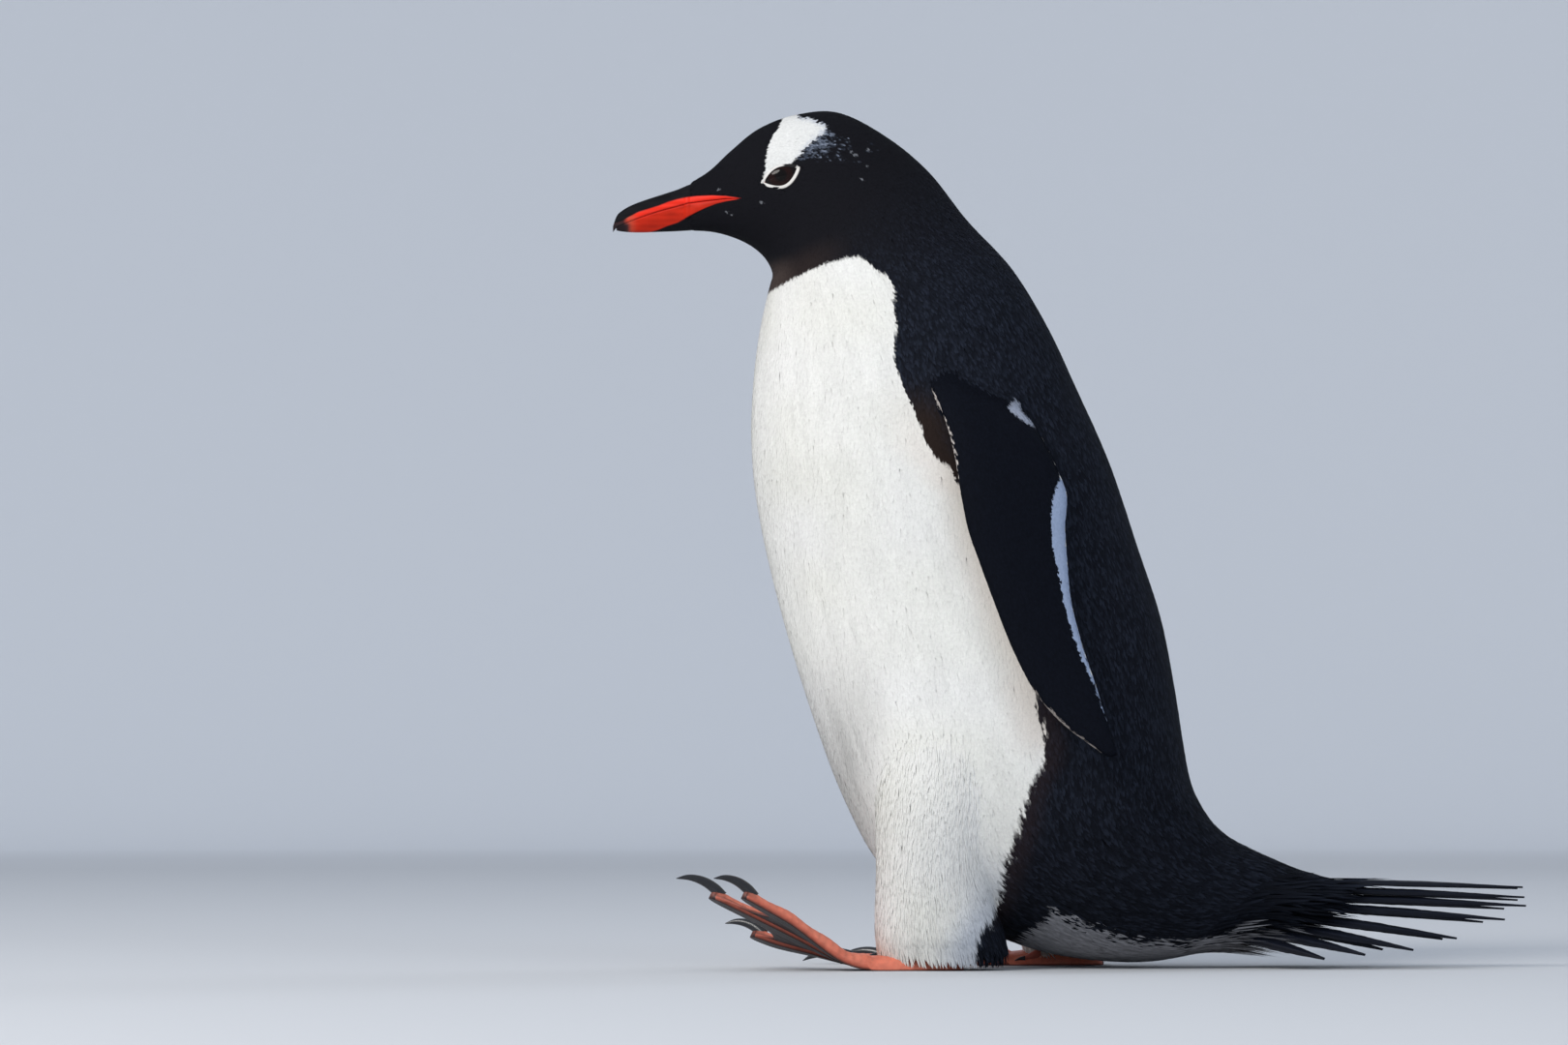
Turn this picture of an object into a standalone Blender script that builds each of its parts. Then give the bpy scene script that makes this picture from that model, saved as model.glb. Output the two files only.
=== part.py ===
"""An adult gentoo penguin in mid-stride, life size, as closed solids.

The bird faces -Y, its left side is +X, +Z is up and the floor is z = 0.
All sizes below are millimetres; the meshes are written in metres.
"""

import math

import bmesh
import bpy
import numpy as np
from mathutils import Vector
from mathutils.bvhtree import BVHTree

MM = 0.001
GAP = 0.3          # thin cut left between neighbouring nodes
HALF_GAP = GAP / 2

# ------------------------------------------------------------------ body
# Each station is one cross-section of head, neck, trunk and tail root:
# name, crest (y, z), keel (y, z), half width, squareness, egg
# (egg > 0 is broadest toward the back, egg < 0 toward the breast).
STATIONS = [
    ("bill_base", -210.0, 437.6, -209.6, 411.4, 8.6, 2.1, -0.05),
    ("lores", -198.0, 445.2, -197.0, 410.6, 13.2, 2.1, -0.10),
    ("forehead", -186.0, 456.4, -185.5, 407.6, 19.5, 2.1, -0.14),
    ("brow", -170.5, 468.6, -175.0, 402.6, 26.5, 2.15, -0.14),
    ("eye", -150.0, 476.2, -167.0, 395.4, 31.0, 2.15, -0.08),
    ("crown", -126.0, 477.3, -162.8, 386.4, 34.5, 2.1, -0.03),
    ("hindcrown", -99.0, 463.4, -164.8, 378.2, 39.0, 2.0, 0.0),
    ("nape", -75.5, 443.6, -167.8, 366.5, 45.5, 2.0, 0.0),
    ("hindneck", -54.5, 416.8, -170.5, 354.0, 54.5, 2.0, 0.0),
    ("neck_base", -29.5, 389.5, -173.0, 337.0, 65.0, 2.05, 0.0),
    ("shoulder", -9.5, 356.5, -174.8, 316.0, 74.5, 2.1, 0.03),
    ("breast", 6.0, 323.0, -175.2, 292.0, 81.5, 2.15, 0.03),
    ("upper_back", 24.5, 281.0, -172.8, 262.5, 86.0, 2.2, 0.0),
    ("mid_back", 40.0, 234.5, -165.5, 225.0, 89.0, 2.2, -0.02),
    ("belly", 53.0, 194.5, -154.0, 181.5, 90.5, 2.2, -0.03),
    ("lower_back", 60.5, 156.5, -140.5, 138.5, 89.5, 2.2, -0.02),
    ("rump_top", 65.5, 124.0, -125.0, 97.0, 86.0, 2.2, 0.02),
    ("hip", 69.5, 103.5, -105.5, 60.0, 80.5, 2.15, 0.06),
    ("seat", 75.5, 89.5, -80.5, 38.5, 73.5, 2.1, 0.08),
    ("vent_front", 83.5, 78.5, -49.0, 22.5, 65.5, 2.05, 0.08),
    ("vent", 93.5, 70.5, -16.5, 10.5, 57.0, 2.0, 0.06),
    ("undertail", 103.5, 65.5, 15.5, 4.8, 48.0, 2.0, 0.04),
    ("rump", 113.5, 61.0, 46.0, 4.0, 40.0, 2.0, 0.02),
    ("tail_coverts", 123.0, 57.0, 75.0, 9.8, 32.5, 2.0, 0.0),
    ("tail_root", 132.0, 53.2, 99.5, 21.0, 25.0, 2.0, 0.0),
    ("tail_end", 141.0, 50.2, 121.0, 31.0, 16.0, 2.0, 0.0),
]
STATION_INDEX = {row[0]: i for i, row in enumerate(STATIONS)}
S_NECK = STATION_INDEX["hindcrown"] + 0.1     # head | neck
S_TRUNK = STATION_INDEX["neck_base"] + 0.4    # neck | trunk
S_TAIL = STATION_INDEX["rump"] + 0.0          # trunk | tail
S_END = len(STATIONS) - 1
RING = 32                                     # points round a body section

# ------------------------------------------------------------------ bill
# y, culmen z, tomium z, mandible z, half width
BILL = [
    (-210.2, 437.0, 426.0, 411.4, 7.9),
    (-217.0, 434.2, 424.4, 411.0, 6.8),
    (-227.5, 430.8, 421.6, 410.6, 5.6),
    (-236.0, 428.0, 418.8, 410.3, 4.7),
    (-243.0, 425.2, 416.3, 410.4, 3.9),
    (-248.0, 422.2, 414.2, 410.9, 3.1),
    (-250.6, 419.4, 412.9, 411.4, 2.4),
]
BILL_TIP = (-253.6, 412.6, 409.9, 1.1)        # hooked nail: y, top z, bottom z, half width
BILL_RING = 12

# ------------------------------------------------------------------ eye
EYE_Y, EYE_Z = -159.0, 439.7
EYE_RADIUS = 10.4
EYE_PROUD = 1.6                               # how far the ball stands past the plumage

# --------------------------------------------------------------- flipper
# leading edge (y, z), trailing edge (y, z), mid-plane x at both edges, half thickness
FLIPPER = [
    (-82.0, 347.0, -40.0, 341.0, 61.0, 53.0, 9.0),
    (-79.0, 327.5, -33.5, 320.5, 72.0, 62.0, 9.5),
    (-74.0, 313.0, -25.0, 305.0, 82.0, 71.0, 9.0),
    (-67.5, 295.5, -15.5, 290.5, 90.0, 78.0, 8.2),
    (-63.5, 277.5, -8.5, 275.0, 95.0, 82.5, 7.2),
    (-61.0, 260.5, -3.0, 260.0, 98.5, 86.0, 6.4),
    (-57.0, 240.5, -4.0, 242.5, 101.0, 89.0, 5.8),
    (-50.5, 221.5, -3.0, 224.0, 103.0, 92.0, 5.2),
    (-42.5, 199.5, -1.0, 202.0, 104.5, 95.0, 4.6),
    (-33.5, 176.5, 4.5, 179.0, 105.2, 97.5, 4.0),
    (-22.0, 154.0, 11.5, 157.5, 105.6, 100.0, 3.4),
    (-8.0, 137.0, 16.5, 141.0, 105.6, 102.0, 2.7),
    (8.0, 124.5, 20.5, 129.0, 105.2, 103.6, 2.0),
]
FLIPPER_TIP = (21.0, 118.0, 104.4)
FLIPPER_RING = 16
FLIPPER_EDGE = 0.5                            # half thickness left at the thin trailing edge

# ------------------------------------------------------------------- leg
# z, centre y, centre x, half length (y), half width (x)
LEG_L = [
    (158.0, -60.0, 46.0, 26.0, 26.0),
    (132.0, -64.0, 50.0, 37.0, 34.5),
    (104.0, -69.0, 52.5, 38.0, 34.5),
    (78.0, -73.5, 52.0, 33.5, 31.5),
    (55.0, -75.2, 50.0, 31.2, 28.5),
    (34.0, -73.6, 47.5, 33.4, 26.0),
    (18.0, -71.0, 45.5, 36.0, 24.0),
    (11.7, -70.2, 45.0, 35.2, 22.8),
]
LEG_R = [
    (128.0, -14.0, 44.0, 24.0, 24.0),
    (104.0, -12.0, 48.0, 33.0, 30.0),
    (78.0, -8.0, 48.5, 32.5, 29.5),
    (55.0, -3.5, 47.5, 30.0, 27.5),
    (34.0, 0.5, 46.5, 28.2, 25.5),
    (18.0, 2.6, 45.5, 27.2, 23.5),
    (11.7, 3.0, 45.0, 26.0, 22.0),
]
LEG_RING = 22

# ------------------------------------------------------------------ foot
# Measured forward (f) from the middle of the leg, and outward (l).
FOOT_HEEL_F = -20.0
KNUCKLE_F = 34.0
TOES = {  # start l, tip (f, l), half width at the start and at the tip
    "inner": (-11.0, 98.0, -33.0, 5.4, 4.1),
    "middle": (0.0, 129.0, 2.0, 5.8, 4.4),
    "outer": (11.0, 114.0, 31.0, 5.6, 4.2),
}
WEB_F = 0.80            # the web reaches this share of the way to the toe tips
WEB_DIP = 9.0           # and its edge is hollowed by this much
WEB_HALF = 0.9          # half thickness of the web
TOE_HALF = 3.8          # half thickness of a toe at the knuckle
TOE_HALF_TIP = 3.0
PAD_HALF = 5.6          # half thickness of the tarsal pad
HEEL_HALF_WIDTH = 12.5
FOOT_ROWS_REAR = 4
FOOT_ROWS_TOE = 7
FEET = {  # middle of the leg x, y; toes raised and rolled (degrees); turned out
    "L": (45.5, -78.3, 26.0, 16.0, 2.0),
    "R": (45.5, 3.0, 0.0, 0.0, 6.0),
}
BEND_F = (20.0, 60.0)   # the raised foot bends between these
ROLL_F = (36.0, 88.0)   # and twists between these

CLAW_LENGTH = {"inner": 18.0, "middle": 22.5, "outer": 20.5}
CLAW_RADIUS = 3.2
CLAW_BURIED = 6.0
CLAW_RING = 8
CLAW_ROWS = 6
CLAW_ARC = {"L": (30.0, 34.0), "R": (21.0, 27.0)}   # degrees: first up, then curving down
HALLUX_LENGTH, HALLUX_RADIUS = 9.0, 2.5

# ------------------------------------------------------------------ tail
TAIL_PAIRS = 8
# tip of each feather, innermost first: y, z, x
TAIL_TIPS_L = [
    (254.2, 44.8, 3.2), (254.4, 39.4, 9.5), (254.6, 34.8, 15.5), (242.0, 27.4, 23.5),
    (214.6, 17.2, 31.0), (190.0, 11.0, 37.5), (163.0, 8.4, 42.0), (140.5, 6.2, 43.5),
]
TAIL_TIPS_R = [
    (252.0, 44.0, 3.2), (252.8, 37.4, 9.5), (246.0, 32.4, 16.5), (235.0, 24.8, 24.5),
    (213.0, 15.0, 31.5), (180.0, 9.0, 37.5), (158.0, 8.8, 41.5), (137.0, 7.2, 43.0),
]
TAIL_ROOT_IN = (113.5, 47.9, 2.6)
TAIL_ROOT_OUT = (84.0, 20.4, 17.5)
TAIL_ROLL = (22.0, 46.0)                      # degrees the vane tips outward
TAIL_HALF = (4.1, 0.8)                        # half width at mid length and at the tip
TAIL_SHAFT, TAIL_VANE = 0.85, 0.32            # half thickness at the shaft and at the rim
TAIL_ROWS = 5
TAIL_SAG = 0.8


# ------------------------------------------------------------ helpers
def smoothstep(a, b, v):
    t = min(1.0, max(0.0, (v - a) / (b - a)))
    return t * t * (3 - 2 * t)


def spline_row(rows, s):
    """Catmull-Rom through the numbers of a table, at fractional row s."""
    top = len(rows) - 1
    s = min(max(s, 0.0), top)
    i = min(int(s), top - 1)
    t = s - i
    p1, p2 = rows[i], rows[i + 1]
    p0 = rows[i - 1] if i > 0 else 2 * p1 - p2
    p3 = rows[i + 2] if i + 2 <= top else 2 * p2 - p1
    return 0.5 * ((2 * p1) + (p2 - p0) * t + (2 * p0 - 5 * p1 + 4 * p2 - p3) * t * t
                  + (3 * p1 - p0 - 3 * p2 + p3) * t ** 3)


STATION_NUMBERS = [np.array(row[1:], float) for row in STATIONS]


def body_section(s, grow=0.0, count=RING):
    """Ring of points round the body at station s; the first is the crest."""
    ty, tz, by, bz, w, square, egg = spline_row(STATION_NUMBERS, s)
    centre = np.array([0.0, (ty + by) / 2, (tz + bz) / 2])
    half = np.array([0.0, (ty - by) / 2, (tz - bz) / 2])
    reach = np.linalg.norm(half)
    axis = half / reach
    ring = []
    for k in range(count):
        a = 2 * math.pi * k / count
        c, d = math.cos(a), math.sin(a)
        up = math.copysign(abs(c) ** (2 / square), c)
        side = math.copysign(abs(d) ** (2 / square), d) * (1 + egg * up)
        ring.append(centre + axis * up * (reach + grow)
                    + np.array([side * (w + grow), 0.0, 0.0]))
    return ring


def skin_rings(rings, caps=True):
    """Faces joining a list of equal rings, closed at both ends."""
    n = len(rings[0])
    points = [p for ring in rings for p in ring]
    faces = []
    for r in range(len(rings) - 1):
        for k in range(n):
            a, b = r * n + k, r * n + (k + 1) % n
            faces.append((a, b, b + n, a + n))
    if caps:
        for base, ring in ((0, rings[0]), ((len(rings) - 1) * n, rings[-1])):
            points.append(np.mean(ring, axis=0))
            tip = len(points) - 1
            for k in range(n):
                faces.append((tip, base + k, base + (k + 1) % n))
    return points, faces


def material(name, colour, rough):
    made = bpy.data.materials.new(name)
    made.use_nodes = True
    shader = made.node_tree.nodes["Principled BSDF"]
    shader.inputs["Base Color"].default_value = (*colour, 1.0)
    shader.inputs["Roughness"].default_value = rough
    shader.inputs["Metallic"].default_value = 0.0
    return made


def solid(name, points, faces, mat=None, hidden=False):
    points = np.array(points, float) * MM
    centre = (points.min(axis=0) + points.max(axis=0)) / 2
    mesh = bpy.data.meshes.new(name)
    mesh.from_pydata([tuple(p) for p in (points - centre).tolist()], [], faces)
    bm = bmesh.new()
    bm.from_mesh(mesh)
    bmesh.ops.remove_doubles(bm, verts=bm.verts, dist=1e-6)
    bmesh.ops.recalc_face_normals(bm, faces=bm.faces)
    bm.to_mesh(mesh)
    bm.free()
    for face in mesh.polygons:
        face.use_smooth = True
    made = bpy.data.objects.new(name, mesh)
    made.location = centre.tolist()
    made.parent = bpy.data.objects.get("penguin")
    bpy.context.scene.collection.objects.link(made)
    if mat is not None:
        mesh.materials.append(mat)
    if hidden:
        made.hide_render = True
        made.display_type = "WIRE"
    return made


def cut(target, cutter, operation="DIFFERENCE", itself=False):
    step = target.modifiers.new(cutter.name, "BOOLEAN")
    step.solver = "EXACT"
    step.operation = operation
    step.object = cutter
    step.use_self = itself
    return step


def body_part(s0, s1, count, grow=0.0):
    rings = [body_section(s0 + (s1 - s0) * i / (count - 1), grow) for i in range(count)]
    return skin_rings(rings)


def push(rings, first, last):
    """Moves the end rings along the loft, to leave half of a thin cut."""
    rings = [list(r) for r in rings]
    for index, other, amount in ((0, 1, first), (-1, -2, last)):
        if amount:
            way = np.mean(rings[other], axis=0) - np.mean(rings[index], axis=0)
            way = way / np.linalg.norm(way) * amount
            rings[index] = [p + way for p in rings[index]]
    return rings


def body_node(name, s0, s1, count, mat, first=0.0, last=0.0):
    rings = [body_section(s0 + (s1 - s0) * i / (count - 1)) for i in range(count)]
    return solid(name, *skin_rings(push(rings, first, last)), mat)


def tree_of(points, faces):
    return BVHTree.FromPolygons([Vector(p) for p in points], faces)


def side_at(tree, y, z):
    """Half width of the body where a ray from the left meets it."""
    hit = tree.ray_cast(Vector((400.0, y, z)), Vector((-1.0, 0.0, 0.0)))
    return hit[0].x if hit[0] else 0.0


# ------------------------------------------------------------ bill
def bill_half(upper, grow=0.0):
    rings = []
    lift = HALF_GAP
    for y, zt, zm, zb, w in BILL:
        ring = []
        for k in range(BILL_RING):
            a = 2 * math.pi * k / BILL_RING
            c, d = math.cos(a), math.sin(a)
            if upper:
                low, high = zm + lift, zt
                # flat along the tomium, roofed above it
                z = low + (high - low) * max(0.0, c) ** 0.85 if c > 0 else low
                x = w * d if c > 0 else w * d * 0.98
            else:
                low, high = zb, zm - lift
                z = high - (high - low) * max(0.0, -c) ** 0.75 if c < 0 else high
                x = 0.94 * w * d * (1 - 0.22 * max(0.0, -c))
            ring.append(np.array([x, y, z]))
        rings.append(ring)
    if upper:
        y, zt, zb, w = BILL_TIP
        ring = []
        for k in range(BILL_RING):
            a = 2 * math.pi * k / BILL_RING
            ring.append(np.array([w * math.sin(a), y, (zt + zb) / 2 + (zt - zb) / 2 * math.cos(a)]))
        rings.append(ring)
    return rings


# ------------------------------------------------------------ flipper
def flipper_rings(side, grow=0.0):
    rings = []
    for ly, lz, ty, tz, xl, xt, half in FLIPPER:
        lead, trail = np.array([ly, lz]), np.array([ty, tz])
        middle, chord = (lead + trail) / 2, (trail - lead) / 2
        reach = np.linalg.norm(chord)
        way = chord / reach
        ring = []
        for k in range(FLIPPER_RING):
            a = 2 * math.pi * k / FLIPPER_RING
            along = -math.cos(a)                   # -1 leading edge, +1 trailing edge
            thick = math.sin(a)
            swell = half * (1.0 - 0.42 * along) / 1.25 + FLIPPER_EDGE * (1 + along) / 2
            q = middle + way * along * (reach + grow)
            x = (xl + xt) / 2 + (xt - xl) / 2 * along
            offset = thick * (swell + grow)
            ring.append(np.array([side * (x + offset), q[0], q[1]]))
        rings.append(ring)
    y, z, x = FLIPPER_TIP
    last = rings[-1]
    tip = np.array([side * x, y, z])
    rings.append([tip + (p - np.mean(last, axis=0)) * 0.34 for p in last])
    return rings


# ------------------------------------------------------------ leg
def leg_rings(rows, side, grow=0.0):
    rings = []
    for z, cy, cx, ry, rx in rows:
        ring = []
        for k in range(LEG_RING):
            a = 2 * math.pi * k / LEG_RING
            ring.append(np.array([side * (cx + (rx + grow) * math.sin(a)),
                                  cy + (ry + grow) * math.cos(a), z]))
        rings.append(ring)
    return rings


# ------------------------------------------------------------ foot
def foot_frame(which, f, l, z):
    """Puts a point measured along the foot where the stance carries it."""
    x0, y0, pitch, roll, turn = FEET[which]
    side = 1.0 if which == "L" else -1.0
    share = smoothstep(BEND_F[0], BEND_F[1], f)
    r = math.radians(roll * smoothstep(ROLL_F[0], ROLL_F[1], f))
    l, z = l * math.cos(r) - z * math.sin(r), z * math.cos(r) + l * math.sin(r)
    # walk along the bend in small steps
    steps, py, pz, last = 24, min(f, BEND_F[0]), 0.0, 0.0
    if f > BEND_F[0]:
        py, pz, span = BEND_F[0], 0.0, f - BEND_F[0]
        for i in range(steps):
            g = BEND_F[0] + span * (i + 0.5) / steps
            last = math.radians(pitch) * smoothstep(BEND_F[0], BEND_F[1], g)
            py += math.cos(last) * span / steps
            pz += math.sin(last) * span / steps
    last = math.radians(pitch) * share
    fy = py - math.sin(last) * (z)
    fz = pz + math.cos(last) * (z)
    t = math.radians(turn)
    forward = fy * math.cos(t) - l * math.sin(t)
    outward = l * math.cos(t) + fy * math.sin(t)
    return np.array([side * (x0 + outward), y0 - forward, fz])


def toe_line(name, u):
    l0, f1, l1, w0, w1 = TOES[name]
    return KNUCKLE_F + (f1 - KNUCKLE_F) * u, l0 + (l1 - l0) * u, w0 + (w1 - w0) * u


def foot_columns():
    """Columns across the foot: (toe, place across the toe) or (toe, next toe, share)."""
    names = ["inner", "middle", "outer"]
    spots = [-1.0, -0.55, 0.0, 0.55, 1.0]
    columns = []
    for i, name in enumerate(names):
        columns += [("toe", name, name, v) for v in spots]
        if i < 2:
            columns += [("web", name, names[i + 1], w) for w in (0.33, 0.67)]
    return columns


def foot_grid():
    """Middle line, half thickness and half sole of each grid point, before the stance."""
    columns = foot_columns()
    grid = []
    width_here = TOES["outer"][0] + TOES["outer"][3]
    for r in range(FOOT_ROWS_REAR):
        t = r / FOOT_ROWS_REAR
        f = FOOT_HEEL_F + (KNUCKLE_F - FOOT_HEEL_F) * t
        round_off = math.sqrt(max(0.0, 1 - (1 - min(1.0, t * 3.2 + 0.12)) ** 2))
        half = (HEEL_HALF_WIDTH + (width_here - HEEL_HALF_WIDTH) * smoothstep(0, 1, t)) * round_off
        row = []
        for j in range(len(columns)):
            v = -1 + 2 * j / (len(columns) - 1)
            edge = math.sqrt(max(0.0, 1 - abs(v) ** 3.0))
            thick = (PAD_HALF + (TOE_HALF - PAD_HALF) * smoothstep(0.45, 1, t)) * (0.12 + 0.88 * edge) * (0.55 + 0.45 * round_off)
            row.append((f, v * half, thick))
        grid.append(row)
    for r in range(FOOT_ROWS_TOE):
        u = r / (FOOT_ROWS_TOE - 1)
        row = []
        for kind, a, b, v in columns:
            if kind == "toe":
                shorten = 1.0 - 0.035 * abs(v) ** 2
                f, l, w = toe_line(a, u * shorten)
                close = math.sqrt(max(0.0, 1 - max(0.0, (u - 0.9) / 0.1 * 0.86) ** 2))
                arch = math.sqrt(max(0.0, 1 - abs(v) ** 2.2))
                joint = 1 + 0.10 * math.cos(u * 3 * 2 * math.pi)
                thick = WEB_HALF + (TOE_HALF + (TOE_HALF_TIP - TOE_HALF) * u - WEB_HALF) * arch * joint
                row.append((f, l + v * w * (0.35 + 0.65 * close), thick * (0.45 + 0.55 * close)))
            else:
                reach = WEB_F - WEB_DIP / 90.0 * (1 - abs(2 * v - 1) ** 1.5)
                f0, l0, w0 = toe_line(a, u * reach)
                f1, l1, w1 = toe_line(b, u * reach)
                l0, l1 = l0 + w0, l1 - w1
                row.append((f0 + (f1 - f0) * v, l0 + (l1 - l0) * v, WEB_HALF))
        grid.append(row)
    return grid


def foot_mesh(which):
    grid = foot_grid()
    rows, cols = len(grid), len(grid[0])
    top, low = [], []
    for row in grid:
        for f, l, thick in row:
            base = 1.6 if thick < 1.6 and f >= KNUCKLE_F else 0.0   # webs and rims hang clear
            middle = base + thick
            top.append(foot_frame(which, f, l, middle + thick))
            low.append(foot_frame(which, f, l, middle - thick))
    points = top + low
    n = rows * cols
    faces = []
    for r in range(rows - 1):
        for c in range(cols - 1):
            a = r * cols + c
            faces.append((a, a + 1, a + cols + 1, a + cols))
            faces.append((n + a, n + a + cols, n + a + cols + 1, n + a + 1))
    rim = [(0, c) for c in range(cols)] + [(r, cols - 1) for r in range(1, rows)]
    rim += [(rows - 1, c) for c in range(cols - 2, -1, -1)] + [(r, 0) for r in range(rows - 2, 0, -1)]
    for i, (r, c) in enumerate(rim):
        r2, c2 = rim[(i + 1) % len(rim)]
        a, b = r * cols + c, r2 * cols + c2
        faces.append((a, b, n + b, n + a))
    return points, faces


def claw_rings(which, toe, grow=0.0):
    """A curved cone that starts inside the toe tip and hooks down."""
    l0, f1, l1, _, _ = TOES[toe]
    heading = math.atan2(l1 - l0, f1 - KNUCKLE_F)
    length = CLAW_LENGTH[toe]
    start = f1 - CLAW_BURIED - grow
    rise, droop = CLAW_ARC[which]
    rings = []
    forward, height = 0.0, TOE_HALF_TIP + 1.5
    total = length + CLAW_BURIED + grow
    for i in range(CLAW_ROWS):
        t = i / (CLAW_ROWS - 1)
        angle = math.radians(rise - (rise + droop) * t ** 1.2)
        radius = CLAW_RADIUS * (1 - t ** 1.6) ** 0.75 * 0.93 + 0.22 + grow
        if i:
            step = total / (CLAW_ROWS - 1)
            forward += math.cos(angle) * step
            height += math.sin(angle) * step
        ring = []
        for k in range(CLAW_RING):
            a = 2 * math.pi * k / CLAW_RING
            across, up = math.cos(a) * radius * 0.86, math.sin(a) * radius
            f_local = forward - math.sin(angle) * up
            z_local = height + math.cos(angle) * up
            f = start * 1.0 + math.cos(heading) * f_local - math.sin(heading) * across
            l = l1 - (CLAW_BURIED + grow) * math.tan(heading) + math.sin(heading) * f_local + math.cos(heading) * across
            ring.append(foot_frame(which, f, l, z_local))
        rings.append(ring)
    return rings


def hallux_rings(which):
    rings = []
    for i in range(5):
        t = i / 4
        f = 14.0 + HALLUX_LENGTH * t
        l = -19.5 - 2.2 * t
        z = 7.6 - 3.2 * t
        radius = HALLUX_RADIUS * (0.62 + 0.38 * math.sin(math.pi * min(1, t + 0.25))) * (1 if t < 1 else 0.55)
        ring = []
        for k in range(8):
            a = 2 * math.pi * k / 8
            ring.append(foot_frame(which, f, l + math.cos(a) * radius, z + math.sin(a) * radius))
        rings.append(ring)
    return rings


def hallux_claw_rings(which):
    rings = []
    for i in range(4):
        t = i / 3
        f = 14.0 + HALLUX_LENGTH + GAP + 5.0 * t
        l = -21.7 - 0.6 * t
        z = 4.4 - 1.4 * t * t
        radius = 1.1 * (1 - t) ** 0.7 + 0.25
        ring = []
        for k in range(8):
            a = 2 * math.pi * k / 8
            ring.append(foot_frame(which, f, l + math.cos(a) * radius, z + math.sin(a) * radius))
        rings.append(ring)
    return rings


# ------------------------------------------------------------ tail
def tail_feather(k, tip, side):
    share = k / (TAIL_PAIRS - 1)
    root = np.array(TAIL_ROOT_IN) + (np.array(TAIL_ROOT_OUT) - np.array(TAIL_ROOT_IN)) * share
    root = np.array([side * root[2], root[0], root[1]])
    end = np.array([side * tip[2], tip[0], tip[1]])
    way = end - root
    length = np.linalg.norm(way)
    way = way / length
    tilt = math.radians(TAIL_ROLL[0] + (TAIL_ROLL[1] - TAIL_ROLL[0]) * share)
    up = np.array([0.0, 0.0, 1.0]) - way * way[2]
    up /= np.linalg.norm(up)
    across = np.cross(way, up)
    if across[0] * side < 0:
        across = -across
    flat = across * math.cos(tilt) - up * math.sin(tilt)
    stand = across * math.sin(tilt) + up * math.cos(tilt)
    rings = []
    for i in range(TAIL_ROWS):
        t = i / (TAIL_ROWS - 1)
        half = 2.6 + (TAIL_HALF[0] - 2.6) * min(1.0, t / 0.35)
        if t > 0.55:
            half = TAIL_HALF[0] + (TAIL_HALF[1] - TAIL_HALF[0]) * ((t - 0.55) / 0.45) ** 1.25
        shaft = TAIL_SHAFT + (0.5 - TAIL_SHAFT) * t
        middle = root + way * length * t + up * TAIL_SAG * math.sin(math.pi * t)
        rings.append([
            middle - flat * half - stand * TAIL_VANE,
            middle - stand * shaft,
            middle + flat * half - stand * TAIL_VANE,
            middle + flat * half + stand * TAIL_VANE,
            middle + stand * shaft,
            middle - flat * half + stand * TAIL_VANE,
        ])
    return rings


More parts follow.
